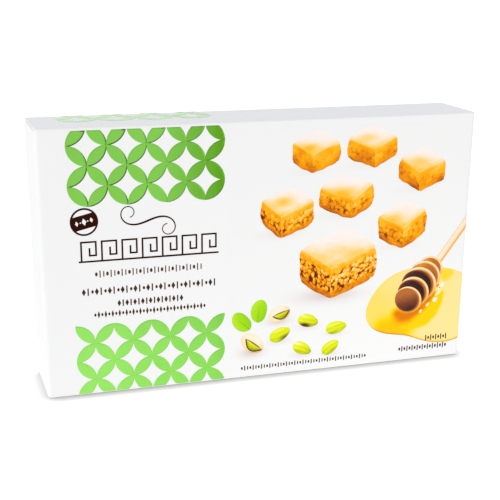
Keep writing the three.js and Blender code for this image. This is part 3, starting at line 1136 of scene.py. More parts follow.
@dataclass
class Field:
    """One field of ink on the front panel.

    Attributes:
        x: places from the panel's left edge, a grid.
        down: places from its upper edge, a grid of the same shape.
        tone: from 0, darkest, to 1, lightest.
        level: its turn in the printing, from the lowest up.
        ink: number of the piece's material.
        flake: how much the thin layers show.
        crumb: how much the crumbs show.
        grain: the two coordinates, in millimetres, that the patterns follow.
    """

    x: np.ndarray
    down: np.ndarray
    tone: np.ndarray | float
    level: int = 0
    ink: int = 0
    flake: np.ndarray | float = 0.0
    crumb: np.ndarray | float = 0.0
    grain: tuple[np.ndarray, np.ndarray] | None = None

    def skin(self) -> Skin:
        """The field as a closed slab on the wrap, rooted in the board."""
        grain_u, grain_v = self.grain if self.grain else (self.x, self.down)
        numbers = {
            "tone": np.asarray(self.tone, float),
            "flake": np.asarray(self.flake, float),
            "crumb": np.asarray(self.crumb, float),
            "grain_u": grain_u,
            "grain_v": grain_v,
        }
        top = WRAP.front(self.x, self.down, INK_LIFT + LEVEL_STEP * self.level)
        return Skin(top, WRAP.front(self.x, self.down, INK_ROOT), numbers, self.ink)


def disc_grid(points: int) -> tuple[np.ndarray, np.ndarray]:
    """A square grid drawn in to a disc of radius 1: u times the root of 1 less half v squared.

    Args:
        points: points along each side.

    Returns:
        The disc's two coordinates.
    """
    u, v = centred_grid(points, points)
    return u * np.sqrt(1.0 - v * v / 2.0), v * np.sqrt(1.0 - u * u / 2.0)


def quad_grid(corners: Sequence[tuple[float, float]], columns: int, rows: int) -> tuple:
    """A bilinear patch between four corners given round it.

    Args:
        corners: (x, y) at the shares (0, 0), (1, 0), (1, 1) and (0, 1).
        columns: points along the first share.
        rows: points along the second.

    Returns:
        x, y and the two shares.
    """
    u, v = unit_grid(columns, rows)
    weights = ((1 - u) * (1 - v), u * (1 - v), u * v, (1 - u) * v)
    x = sum(weight * corner[0] for weight, corner in zip(weights, corners))
    y = sum(weight * corner[1] for weight, corner in zip(weights, corners))
    return x, y, u, v


def ribbon(path: np.ndarray, width: np.ndarray | float) -> tuple[np.ndarray, np.ndarray]:
    """A band of a width along a path, mitred where the path turns.

    A point's offset is along the bisector of its two sides' normals, and it grows by one over
    the cosine of half the turn.

    Args:
        path: points (count, 2).
        width: the band's width, one number or one at each point.

    Returns:
        x and y, each of shape (count, 2).
    """
    steps = np.diff(path, axis=0)
    steps = steps / np.linalg.norm(steps, axis=1, keepdims=True)
    before = np.vstack([steps[:1], steps])
    after = np.vstack([steps, steps[-1:]])
    bisector = before + after
    bisector = bisector / np.linalg.norm(bisector, axis=1, keepdims=True)
    stretch = 1.0 / np.clip((bisector * after).sum(axis=1), 0.5, 1.0)
    normal = np.stack([-bisector[:, 1], bisector[:, 0]], axis=1)
    reach = normal * (stretch * np.broadcast_to(width, len(path)) / 2.0)[:, None]
    sides = np.stack([path - reach, path + reach], axis=1)
    return sides[..., 0], sides[..., 1]


def oval(
    x: float, down: float, length: float, width: float, turn: float, points: int
) -> tuple[np.ndarray, np.ndarray, np.ndarray, np.ndarray]:
    """An oval's grid: places on the panel and its own coordinates from -1 to 1.

    Args:
        x: its centre from the panel's left edge.
        down: its centre from the panel's upper edge.
        length: its greatest length.
        width: its width across.
        turn: anticlockwise angle of its length, in degrees.
        points: points along each side of the grid.

    Returns:
        x, down, and the coordinates along and across.
    """
    along, across = disc_grid(points)
    right, up = turned(along * length / 2.0, across * width / 2.0, turn)
    return x + right, down - up, along, across


def node_place(node: str) -> tuple[float, float, float, float]:
    """Middle and size of a front print's CAD node, as x, down, width and height."""
    low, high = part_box(node)
    middle = (low + high) / (2.0 * MM)
    size = (high - low) / MM
    return middle.x + HALF_WIDTH, WRAP.height - middle.z, size.x, size.z


@dataclass(frozen=True)
class Seal:
    """The round seal: a dark disc with a clear segment each side of its tilted band.

    Each lozenge has its place along the band and half its height, and each bead its place.
    """

    radius: float = 7.9
    rim: float = 1.1
    band: float = 4.0
    tilt: float = 13.0
    lozenges: tuple[tuple[float, float], ...] = ((-4.2, 1.5), (0.0, 2.1), (4.2, 1.5))
    lozenge_share: float = 0.62
    beads: tuple[float, ...] = (-2.1, 2.1)
    bead_size: float = 0.8
    clear_tone: float = 0.8

    def fields(self) -> list[Field]:
        """The disc, the two clear segments and the plain lozenges and beads on the band."""
        x, down, _, _ = node_place("print_seal")
        disc_x, disc_down, _, across = oval(x, down, 2 * self.radius, 2 * self.radius, 0.0, 28)
        fields = [Field(disc_x, disc_down, 0.35 + 0.15 * across)]
        inner = self.radius - self.rim
        half_chord = math.sqrt(inner**2 - self.band**2)
        u, v = unit_grid(25, 5)
        chord = 0.998 * half_chord * (2.0 * u - 1.0)
        rise = self.band + v * (np.sqrt(inner**2 - chord**2) - self.band)
        for side in (1.0, -1.0):
            fields.append(self.clear(x, down, chord, side * rise))
        for place, half in self.lozenges:
            aside = half * self.lozenge_share
            corners = [(place - aside, 0.0), (place, half), (place + aside, 0.0), (place, -half)]
            right, up, _, _ = quad_grid(corners, 4, 4)
            fields.append(self.clear(x, down, right, up))
        for place in self.beads:
            right, up = turned(np.array(place), np.array(0.0), self.tilt)
            bead = oval(x + right, down - up, self.bead_size, self.bead_size, 0.0, 5)
            fields.append(Field(*bead[:2], self.clear_tone, 1, 1))
        return fields

    def clear(self, x: float, down: float, right: np.ndarray, up: np.ndarray) -> Field:
        """A field in the clear ink, turned with the band about the seal's middle."""
        right, up = turned(right, up, self.tilt)
        return Field(x + right, down - up, self.clear_tone, 1, 1)


@dataclass(frozen=True)
class KeyFrieze:
    """A running key: from the baseline, a squared spiral rises in every unit."""

    unit: float = 11.6
    units: int = 7
    height: float = 12.2
    stroke: float = 1.0
    inset: float = 0.2
    foot: float = 0.2
    low_share: float = 0.28
    mid_share: float = 0.6

    def fields(self) -> list[Field]:
        """The baseline and one mitred band for each spiral."""
        x, down, _, _ = node_place("print_key_frieze")
        left_end = x - self.unit * self.units / 2.0
        base = down + self.height / 2.0
        half = self.stroke / 2.0
        ends = [left_end, left_end + self.unit * self.units]
        fields = [self.band(np.array([[end, base - half] for end in ends]), 0)]
        gap = self.unit * self.inset / 2.0
        top = base - self.height + half
        low = base - self.height * self.low_share - half
        mid = base - self.height * self.mid_share - self.stroke
        for index in range(self.units):
            left = left_end + index * self.unit + gap + half
            right = left_end + (index + 1) * self.unit - gap - half
            middle = (left + right) / 2.0 + half
            corners = [(left, base - self.foot), (left, top), (right, top), (right, low)]
            path = np.array(corners + [(middle, low), (middle, mid)])
            fields.append(self.band(path, 1))
        return fields

    def band(self, path: np.ndarray, level: int) -> Field:
        """One band of the frieze's stroke along a path."""
        x, down = ribbon(path, self.stroke)
        return Field(x, down, 0.4, level)


class Motif(Enum):
    """The plain motifs. A straight one has its corners, as shares of half its width and height."""

    BEAD = ()
    BAR = ((-1.0, -1.0), (1.0, -1.0), (1.0, 1.0), (-1.0, 1.0))
    LOZENGE = ((-1.0, 0.0), (0.0, -1.0), (1.0, 0.0), (0.0, 1.0))


@dataclass(frozen=True)
class OrnamentLine:
    """A row of plain motifs, each with its width and height, in place of a line of words."""

    left: float
    right: float
    down: float
    pitch: float
    pattern: tuple[tuple[Motif, float, float], ...]
    tone: float
    level: int = 3

    def fields(self) -> list[Field]:
        """The pattern's motifs in turn, spread evenly from the left to the right."""
        count = int(round((self.right - self.left) / self.pitch)) + 1
        fields = []
        for number, x in enumerate(np.linspace(self.left, self.right, count)):
            motif, width, height = self.pattern[number % len(self.pattern)]
            if motif is Motif.BEAD:
                grid = oval(x, self.down, width, height, 0.0, 5)
            else:
                half_width, half_height = width / 2.0, height / 2.0
                corners = [(x + a * half_width, self.down + b * half_height) for a, b in motif.value]
                grid = quad_grid(corners, 3, 3)
            fields.append(Field(*grid[:2], self.tone, self.level))
        return fields


@dataclass(frozen=True)
class Flourish:
    """A thin double scroll: a curve whose bend grows with the distance from its middle."""

    x: float = 60.0
    down: float = 52.8
    width: float = 31.0
    turns: float = 2.1
    lean: float = 0.35
    line: float = 1.15
    end_share: float = 0.45
    swell: float = 0.45
    points: int = 161

    def fields(self) -> list[Field]:
        """The scroll as one band, thick in the middle and fine towards its ends.

        The heading at s is the turns times pi times s squared, less the lean, with s from -1 to
        1, and the path is the running sum of the heading's direction. The band's width falls
        from the line's to its end share as a bell shape of s over the swell.
        """
        s = np.linspace(-1.0, 1.0, self.points)
        heading = np.pi * self.turns * s * s - self.lean
        step = np.stack([np.cos(heading), np.sin(heading)], axis=1)
        path = np.cumsum(step, axis=0)
        path = path - (path.max(axis=0) + path.min(axis=0)) / 2.0
        path = path * (self.width / np.ptp(path[:, 0]))
        place = np.array([self.x, self.down]) + path
        fullness = self.end_share + (1.0 - self.end_share) * bell(s, self.swell)
        x, down = ribbon(place, self.line * fullness)
        return [Field(x, down, 0.5)]


def ornament_fields() -> list[Field]:
    """All the plain motifs that stand where the panel's words would be."""
    bead, bar, lozenge = Motif
    tall_beads = ((bead, 1.5, 2.4), (bar, 0.62, 4.1), (bar, 0.62, 3.2))
    mixed = ((lozenge, 2.3, 4.2), (bar, 0.75, 4.3), (bead, 1.4, 2.0))
    lozenges = ((lozenge, 2.1, 3.9), (bar, 0.75, 3.8))
    slim_lozenges = ((bead, 1.2, 1.9), (lozenge, 1.5, 4.3))
    low_bars = ((bead, 1.2, 1.8), (bar, 0.7, 3.0), (bar, 0.7, 2.2))
    lines = (
        OrnamentLine(29.5, 90.5, 81.9, 2.1, tall_beads, 0.95),
        OrnamentLine(22.0, 98.5, 92.0, 2.45, mixed, 0.8),
        OrnamentLine(42.0, 78.6, 99.9, 2.3, lozenges, 0.8),
        OrnamentLine(28.0, 92.4, 105.9, 2.0, slim_lozenges, 0.85),
        OrnamentLine(115.5, 196.0, 148.0, 1.8, low_bars, 0.85),
        OrnamentLine(237.5, 251.5, 140.4, 1.75, ((bar, 0.75, 3.7), (bead, 1.3, 2.0)), 0.85),
        OrnamentLine(219.5, 251.5, 146.3, 1.8, ((bead, 1.3, 2.2), (bar, 0.75, 3.6)), 0.85),
    )
    return Flourish().fields() + [one for line in lines for one in line.fields()]


class SliceFace(Enum):
    """The three faces of a slice that are seen, in the order of drawing."""

    TOP = 0
    LEFT = 1
    RIGHT = 2


@dataclass(frozen=True)
class PastrySlice:
    """A lozenge-cut slice seen from a corner: pale crisp top, two near sides of thin layers.

    Its corners are shares of its width and height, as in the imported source. The outline's
    corners are rounded by drawing every point in or out, by the smoothed outline's radius over
    the sharp one's at its angle.
    """

    number: int
    lean: float
    focus: float
    side_height: float = 0.22
    side_lean: float = 0.05
    corner_lean: float = 0.15
    front_height: float = -0.06
    thickness: float = 0.44
    rounding: float = 11.0
    rounding_reach: int = 24
    shrink: float = 0.985
    wobble: float = 0.4
    top_points: int = 30
    side_points: int = 26

    def corners(self, width: float, height: float) -> np.ndarray:
        """Back, left, front and right corners of the top, then the three lower ones."""
        side = self.side_height * height
        tilt = self.side_lean * height * self.lean
        corner = self.corner_lean * width * self.lean
        drop = self.thickness * height
        back = (corner, height / 2)
        front = (-corner, self.front_height * height)
        top = [back, (-width / 2, side + tilt), front, (width / 2, side - tilt)]
        low = [(x, y - drop) for x, y in top[1:]]
        return np.array(top + low)

    def rounded(self, x: np.ndarray, y: np.ndarray, outline: np.ndarray) -> tuple:
        """Draws points in to the outline with its corners rounded.

        The outline's radius at an angle is the least of each side's distance from the middle over
        the cosine between them. It is smoothed by a bell shape of angles, and two sines wave it.

        Args:
            x: places to the right of the middle.
            y: places above the middle.
            outline: the convex outline's corners, in order.

        Returns:
            The moved x and y.
        """
        angles = np.linspace(-math.pi, math.pi, 361)
        sides = np.roll(outline, -1, axis=0) - outline
        normals = np.stack([sides[:, 1], -sides[:, 0]], axis=1)
        reach = (normals * outline).sum(axis=1)
        normals = normals * np.sign(reach)[:, None]
        reach = np.abs(reach)
        facing = np.cos(angles)[:, None] * normals[:, 0] + np.sin(angles)[:, None] * normals[:, 1]
        radius = np.min(np.where(facing > 1e-6, reach / np.maximum(facing, 1e-6), np.inf), axis=1)
        span = self.rounding_reach
        kernel = bell(np.arange(-span, span + 1), self.rounding)
        ring = np.concatenate([radius[-span - 1 : -1], radius, radius[1 : span + 1]])
        smooth = np.convolve(ring, kernel / kernel.sum(), mode="valid")
        wave = np.sin(5.0 * angles + self.number) + np.sin(11.0 * angles + 2.1 * self.number)
        smooth = smooth * self.shrink + self.wobble * wave / 2.0
        angle = np.arctan2(y, x)
        sharp = np.interp(angle, angles, radius)
        scale = np.interp(angle, angles, smooth) / sharp
        near_rim = smooth_step(np.hypot(x, y) / sharp, 0.2, 1.0)
        scale = 1.0 + (scale - 1.0) * near_rim
        return x * scale, y * scale

    def fields(self, random: np.random.Generator) -> list[Field]:
        """The top, the left side and the right side.

        Args:
            random: the source of the blisters' places.

        Returns:
            Three fields that meet along the slice's near edges.
        """
        x, down, width, height = node_place(f"print_pastry_{self.number}")
        back, left, front, right, low_left, low_front, low_right = self.corners(width, height)
        outline = np.array([back, left, low_left, low_front, low_right, right])
        size = max(width, height)
        faces = []
        plans = {
            SliceFace.TOP: (left, back, right, front),
            SliceFace.LEFT: (left, front, low_front, low_left),
            SliceFace.RIGHT: (front, right, low_right, low_front),
        }
        for face, corners in plans.items():
            columns = self.top_points if face is SliceFace.TOP else self.side_points
            grid_x, grid_y, u, v = quad_grid(corners, columns, self.side_points)
            length = np.hypot(*(corners[1] - corners[0]))
            breadth = np.hypot(*(corners[3] - corners[0]))
            grain = (u * length + 37.0 * self.number, v * breadth + 11.0 * face.value)
            if face is SliceFace.TOP:
                tone = self.top_tone(u, v, random)
                flake, crumb = 0.12 * self.focus, 0.0
            else:
                tone, flake, crumb = self.side_tone(u, v, face is SliceFace.LEFT)
            bent = grid_y + 0.02 * size * np.sin(3.0 * grid_x / size + self.number)
            round_x, round_y = self.rounded(grid_x, bent, outline)
            faces.append(Field(x + round_x, down - round_y, tone, 2, 0, flake, crumb, grain))
        return faces

    def top_tone(self, u: np.ndarray, v: np.ndarray, random: np.random.Generator) -> np.ndarray:
        """Pale, whiter towards the far edges, toasted in two broad soft patches at random places."""
        toast = bell(u, 0.16) * 0.16 + bell(1.0 - v, 0.15) * 0.14
        places = random.uniform((0.1, 0.35), (0.6, 0.9), (2, 2))
        sizes = random.uniform(0.2, 0.34, (2, 2))
        depths = random.uniform(0.1, 0.2, 2)
        aside = (u[..., None] - places[:, 0]) / sizes[:, 0]
        below = (v[..., None] - places[:, 1]) / sizes[:, 1]
        patches = (depths * np.exp(-(aside**2) - below**2)).sum(axis=-1)
        return 0.93 + 0.08 * smooth_step(u - v, -0.6, 0.8) - toast - patches

    def side_tone(self, u: np.ndarray, v: np.ndarray, shaded: bool) -> tuple:
        """Golden layers over and under a filling of crumbs, darker where the syrup sits.

        A slice out of focus has soft broad blotches in the place of crisp crumbs.

        Args:
            u: share along the side.
            v: share down it.
            shaded: whether the side faces away from the light.

        Returns:
            Tone, flake and crumb.
        """
        filling = smooth_step(v, 0.16, 0.3) * (1.0 - smooth_step(v, 0.72, 0.88))
        blotch = np.sin(5.0 * u + 2.3 * self.number) * np.sin(4.0 * v + 1.1 * self.number + u)
        base = 0.53 - 0.2 * smooth_step(v, 0.1, 0.95) + 0.13 * (1.0 - self.focus) * blotch
        base = base + (-0.07 if shaded else 0.02) + 0.12 * self.focus * filling
        base = base + 0.2 * bell(v, 0.07) - 0.07 * bell(1.0 - v, 0.1)
        return base, 0.2 + 0.3 * self.focus * (1.0 - filling), self.focus * (0.1 + 0.7 * filling)


@dataclass(frozen=True)
class Kernel:
    """A shelled green nut: an egg-shaped oval with long ridges and a dark patch of skin."""

    number: int
    length: float
    width: float
    turn: float
    patch: float

    def fields(self) -> list[Field]:
        """The nut's one field.

        The tone falls from the upper left to the lower right and towards the rim, waves in a few
        ridges along the nut, and drops in a soft-edged patch of skin.
        """
        x, down, _, _ = node_place(f"print_kernel_{self.number}")
        along, across = disc_grid(22)
        egg = 1.0 - 0.16 * along
        side = across * egg * self.width / 2.0
        right, up = turned(along * self.length / 2.0, side, self.turn)
        rim = np.hypot(along, across)
        lit = (up - 0.4 * right) / self.width
        bend = 1.6 * np.sin(2.0 * along + self.number)
        ridges = 0.06 * np.sin(across * 9.0 + bend + self.number)
        seam_line = 0.1 * bell(across - 0.25 * (1.0 - along**2) + 0.1, 0.07)
        patch_along = (along - 0.5 * math.cos(self.number)) / 0.5
        skin = np.exp(-(patch_along**2 + ((across + 0.75) / 0.35) ** 2))
        tone = 0.72 + 0.32 * lit + ridges - seam_line - 0.1 * rim**6 - self.patch * skin
        grain = (along * self.length, across * self.width)
        return [Field(x + right, down - up, tone, 2, 0, 0.12, 0.0, grain)]


@dataclass(frozen=True)
class OpenNut:
    """A nut in its split shell: a pale oval, a dark gap in it and the green kernel inside."""

    number: int
    length: float
    width: float
    turn: float
    gap_share: float = 0.5
    kernel_share: float = 0.36
    gap_shift: float = -0.17

    def lens(self, x: float, down: float, share: float, shift: float, reach: float) -> tuple:
        """A pointed oval along the nut: half its width is 1 less t squared, times a share.

        Args:
            x: the nut's middle from the panel's left edge.
            down: the nut's middle from the panel's upper edge.
            share: its width over the nut's.
            shift: how far it is moved across, over the nut's width.
            reach: its length over the nut's.

        Returns:
            x, down and the two coordinates along and across.
        """
        along, across = centred_grid(20, 9)
        belly = np.maximum(1.0 - along**2, 0.03)
        side = across * belly * share / 2.0 + shift * belly
        right, up = turned((0.08 + along * reach / 2.0) * self.length, side * self.width, self.turn)
        return x + right, down - up, along, across

    def fields(self) -> list[Field]:
        """The shell, the gap and the kernel."""
        x, down, _, _ = node_place(f"print_open_nut_{self.number}")
        shell_x, shell_down, along, across = oval(x, down, self.length, self.width, self.turn, 24)
        shaded = smooth_step(along - 0.5 * across, 0.0, 1.1)
        tone = 0.88 + 0.12 * across - 0.24 * shaded - 0.2 * np.hypot(along, across) ** 8
        grain = (along * self.length, across * self.width)
        shell = Field(shell_x, shell_down, tone, 2, 0, 0.1, 0.0, grain)
        gap_x, gap_down, _, gap_c = self.lens(x, down, self.gap_share, self.gap_shift, 0.84)
        gap = Field(gap_x, gap_down, 0.12 + 0.12 * gap_c, 3, 0)
        nut_shift = self.gap_shift - 0.02
        nut_x, nut_down, nut_t, nut_c = self.lens(x, down, self.kernel_share, nut_shift, 0.7)
        nut_tone = 0.5 + 0.24 * nut_c - 0.12 * nut_t + 0.08 * np.sin(9.0 * nut_c)
        return [shell, gap, Field(nut_x, nut_down, nut_tone, 4, 1, 0.1)]


@dataclass(frozen=True)
class Leaf:
    """A small round-tipped leaf with a pale midrib and faint side veins."""

    number: int
    length: float
    width: float
    turn: float

    def fields(self) -> list[Field]:
        """The leaf's one field: half its width at t is 1 less |t| to a power, to a power."""
        x, down, _, _ = node_place(f"print_leaf_{self.number}")
        along, across = centred_grid(34, 15)
        belly = np.maximum(1.0 - np.abs(along) ** 2.3, 0.0) ** 0.55
        side = across * np.maximum(belly, 0.03) * self.width / 2.0
        curl = 0.03 * self.length * (1.0 - along**2)
        right, up = turned(along * self.length / 2.0, side + curl, self.turn)
        off_axis = across * np.maximum(belly, 0.1)
        rib = 0.3 * bell(off_axis, 0.06) * smooth_step(-along, -0.8, 0.4)
        veins = 0.025 * np.sin(along * 18.0 - np.abs(across) * 5.0)
        tone = 0.66 + 0.16 * across + veins - rib - 0.12 * np.abs(across) ** 8 + 0.1 * along
        return [Field(x + right, down - up, tone, 1, 0, 0.06, 0.0, (along * 8.0, across * 4.0))]


Trail = tuple[Point, ...]
Spot = tuple[float, float, float, float, float]


@dataclass(frozen=True)
class Wash:
    """A soft stroke over the honey: how strongly it draws the tone to its own along a trail.

    The trail's points have their x, down and the half width there. Its edge fades to each side
    over the share soft of the half width.
    """

    trail: Trail
    soft: float
    tone: float
    strength: float

    def over(self, base: np.ndarray, x: np.ndarray, down: np.ndarray) -> np.ndarray:
        """The tone at places of the panel, once the wash lies over it.

        Args:
            base: the tone so far.
            x: places from the panel's left edge.
            down: places from its upper edge.

        Returns:
            The new tone.
        """
        count = len(self.trail)
        at = np.linspace(0.0, count - 1.0, 8 * count)
        columns = zip(*self.trail)
        mid_x, mid_down, half = (np.interp(at, np.arange(count), column) for column in columns)
        away = np.hypot(x[..., None] - mid_x, down[..., None] - mid_down) / half
        cover = 1.0 - smooth_step(away.min(axis=-1), 1.0 - self.soft, 1.0 + self.soft)
        return base + (self.tone - base) * self.strength * cover


GLOW: Trail = ((207.5, 130.5, 5.5), (214.0, 131.0, 7.5), (222.0, 132.5, 6.5))
SPOT: Trail = ((248.4, 99.4, 4.0), (251.0, 98.6, 2.8))
YELLOW: Trail = (
    (220.5, 128.4, 4.0), (228.0, 129.0, 4.8), (234.5, 127.2, 5.4), (239.6, 122.4, 5.2),
    (243.2, 116.8, 4.2), (245.8, 111.8, 2.4),
)
AMBER: Trail = (
    (217.0, 122.6, 3.4), (219.8, 124.6, 4.6), (223.8, 124.6, 4.0), (229.2, 122.6, 2.6),
    (233.4, 119.6, 2.4), (238.0, 114.8, 2.0), (241.0, 111.0, 1.6),
)


@dataclass(frozen=True)
class HoneyPool:
    """A pool of honey that runs off the panel's right edge, deeper beside the dipper.

    A wave swells the shore: its count round the pool, its size and its phase. A glint or a foot
    of the dipper is an oval: x, down, length, width and turn.
    """

    x: float = 231.0
    down: float = 119.0
    radius_x: float = 37.0
    radius_up: float = 26.5
    waves: tuple[tuple[int, float, float], ...] = (
        (1, 0.15, -0.26), (2, 0.11, 0.57), (3, 0.054, 2.12), (4, 0.03, -2.18)
    )
    fold_start: float = 257.9
    columns: int = 90
    fold_points: int = 17
    rows: int = 72
    washes: tuple[Wash, ...] = (
        Wash(GLOW, soft=0.95, tone=0.38, strength=0.85),
        Wash(SPOT, soft=0.5, tone=0.56, strength=0.9),
        Wash(YELLOW, soft=0.22, tone=0.53, strength=1.0),
        Wash(AMBER, soft=0.85, tone=0.12, strength=1.0),
    )
    glints: tuple[Spot, ...] = (
        (232.7, 122.2, 2.6, 1.5, 52.0), (237.3, 118.2, 3.2, 1.5, 50.0),
        (242.2, 115.4, 3.6, 3.2, 40.0), (244.2, 111.2, 5.4, 1.7, 38.0),
        (246.4, 106.2, 5.2, 3.0, 44.0), (244.6, 108.6, 3.2, 1.2, 60.0),
    )
    feet: tuple[Spot, ...] = (
        (235.6, 118.0, 3.6, 1.5, 48.0), (240.4, 112.6, 3.4, 1.5, 48.0),
        (243.6, 106.4, 2.6, 1.1, 56.0),
    )

    def outline(self) -> tuple[np.ndarray, np.ndarray]:
        """The shore, anticlockwise: an oval whose radius swells and shrinks in the waves."""
        angle = np.linspace(-math.pi, math.pi, 1441)[:-1]
        swell = 1.0 + sum(size * np.cos(count * angle + phase) for count, size, phase in self.waves)
        x = self.x + swell * self.radius_x * np.cos(angle)
        return x, self.down - swell * self.radius_up * np.sin(angle)

    def fields(self) -> list[Field]:
        """The pool, its white glints and the dark feet of the dipper's discs.

        The pool's columns run from its left tip, where they are close, to the fold, and are
        close again round it. In each, the rows run from shore to shore.
        """
        shore_x, shore_down = self.outline()
        tip = int(np.argmin(shore_x))
        shore_x = np.roll(shore_x, -tip)
        shore_down = np.roll(shore_down, -tip)
        far = int(np.argmax(shore_x))
        start = shore_x[0] + 0.02
        opening = 1.0 - np.cos(np.linspace(0.0, math.pi / 2.0, self.columns))
        round_fold = np.linspace(self.fold_start, PRINT_END, self.fold_points)[1:]
        stations = np.concatenate([start + opening * (self.fold_start - start), round_fold])
        low = np.interp(stations, shore_x[: far + 1], shore_down[: far + 1])
        high = np.interp(stations, shore_x[far:][::-1], shore_down[far:][::-1])
        share = np.linspace(0.0, 1.0, self.rows)
        down = high[:, None] + (low - high)[:, None] * share
        x = np.broadcast_to(stations[:, None], down.shape)
        fields = [Field(x, down, self.tone(x, down, low[:, None] - down, down - high[:, None]), 1)]
        for ovals, tone, fade, level in ((self.glints, 1.0, 0.12, 2), (self.feet, 0.16, -0.1, 16)):
            for spot in ovals:
                grid_x, grid_down, along, across = oval(*spot, 8)
                fields.append(Field(grid_x, grid_down, tone - fade * (along**2 + across**2), level))
        return fields

    def tone(
        self, x: np.ndarray, down: np.ndarray, to_low: np.ndarray, to_high: np.ndarray
    ) -> np.ndarray:
        """Pale, deeper to the left and below, then the washes, and a dark line on the near shore.

        Args:
            x: places from the panel's left edge.
            down: places from its upper edge.
            to_low: distance up from the near shore.
            to_high: distance down from the far shore.

        Returns:
            The tone.
        """
        left = smooth_step(-x, -232.0, -204.0) * (0.4 + 0.6 * smooth_step(down, 96.0, 118.0))
        tone = 0.87 - 0.15 * left - 0.06 * bell(to_high, 1.6)
        for wash in self.washes:
            tone = wash.over(tone, x, down)
        rim = bell(to_low, 0.7) * smooth_step(down, 124.0, 134.0)
        return tone * (1.0 - rim)


@dataclass(frozen=True)
class DipperDisc:
    """One disc of the dipper: its length, and its face's size, place and tone.

    Attributes:
        length: the disc's greatest length.
        face_share: the face's length over the disc's.
        face_shift: how far the face lies nearer than the disc.
        face_left: how far the face lies to the left of the disc.
        face_tone: the face's tone.
        lit: whether the face pales upwards and dims to its right.
        far: whether it dims to its right once more.
    """

    length: float
    face_share: float
    face_shift: float
    face_left: float
    face_tone: float
    lit: bool = False
    far: bool = False


@dataclass(frozen=True)
class Dipper:
    """A turned wooden dipper: round discs one before the other, and a slim handle.

    Each disc is a tan ring round a face that lies a little nearer. Two faces are deep in shade,
    and the nearest one is the plain brown end of the wood.
    """

    x: float = 223.7
    down: float = 114.0
    slope: float = 54.0
    pitch: float = 6.0
    discs: tuple[DipperDisc, ...] = (
        DipperDisc(19.2, 0.89, 0.5, 0.75, 0.33, lit=True),
        DipperDisc(21.8, 0.91, 1.5, 0.75, 0.03),
        DipperDisc(24.4, 0.91, 1.6, 0.85, 0.03),
        DipperDisc(22.0, 0.88, 1.5, 1.0, 0.4, lit=True, far=True),
        DipperDisc(17.2, 0.84, 1.4, 1.0, 0.4, lit=True, far=True),
    )
    depth_share: float = 0.86
    disc_points: int = 26
    handle_width: float = 5.0
    handle_shift: float = -1.4
    handle_points: tuple[int, int] = (130, 11)
    handle_level: int = 3

    def local(self, along: np.ndarray, across: np.ndarray) -> tuple[np.ndarray, np.ndarray]:
        """Places on the panel of a distance along the dipper and one across it."""
        right, up = turned(along, across, self.slope)
        return self.x + right, self.down - up

    def aslant(self, at: float, length: float, aside: float) -> tuple:
        """A disc seen a little aslant: x, down, its two coordinates and their upward share."""
        along, across = disc_grid(self.disc_points)
        reach = along * length * self.depth_share / 2.0
        x, down = self.local(at + reach, aside + across * length / 2.0)
        _, up = turned(along, across, self.slope)
        return x, down, along, across, up

    def fields(self) -> list[Field]:
        """The handle, then each disc's ring and face, from the far disc to the near one."""
        fields = [self.handle()]
        for index, disc in reversed(list(enumerate(self.discs))):
            at = index * self.pitch
            level = self.handle_level + len(fields)
            fields.append(self.ring(disc, at, level))
            fields.append(self.face(disc, at, level + 1))
        return fields

    def ring(self, disc: DipperDisc, at: float, level: int) -> Field:
        """A disc's ring, brightest on its upper outer rim."""
        x, down, along, across, up = self.aslant(at, disc.length, 0.0)
        rim = np.hypot(along, across)
        outer = bell(rim - 0.93, 0.07) * smooth_step(up, -1.1, 0.3)
        inner = 1.0 - smooth_step(rim, 0.8, 0.9)
        tone = 0.69 + 0.05 * up + 0.27 * outer - 0.18 * inner
        return Field(x, down, tone, level, 0, 0.06, 0.0, (across * 8.0, along * 8.0))

    def face(self, disc: DipperDisc, at: float, level: int) -> Field:
        """A disc's face: its own tone, paler upwards where it is lit, and blended at its rim."""
        x, down, along, across, up = self.aslant(
            at - disc.face_shift, disc.length * disc.face_share, disc.face_left
        )
        face = disc.face_tone + 0.24 * up * disc.lit + 0.06 * smooth_step(across, 0.0, 1.0)
        face = face - 0.1 * disc.lit * smooth_step(-across, -0.2, 0.9)
        face = face - 0.1 * disc.far * smooth_step(-across, 0.1, 0.9)
        rim = smooth_step(np.hypot(along, across), 0.86, 1.0)
        tone = face + (0.6 - face) * rim * 0.6
        return Field(x, down, tone, level, 0, 0.1, 0.0, (across * 6.0, along * 5.0))

    def handle(self) -> Field:
        """The handle as far as the print's end, pale along its middle and tan at its edges."""
        u, v = unit_grid(*self.handle_points)
        across = self.handle_shift + (v - 0.5) * self.handle_width
        slope = math.radians(self.slope)
        start = (len(self.discs) - 1) * self.pitch
        stop = (PRINT_END - self.x + across * math.sin(slope)) / math.cos(slope)
        along = start + u * (stop - start)
        x, down = self.local(along, across)
        tone = 0.98 - 0.17 * smooth_step(np.abs(2.0 * v - 1.25), 0.35, 1.0)
        tone = tone - 0.1 * bell(v - 0.12, 0.1) - 0.1 * bell(u, 0.05)
        return Field(x, down, tone, self.handle_level, 0, 0.06, 0.0, (along, across * 2.0))


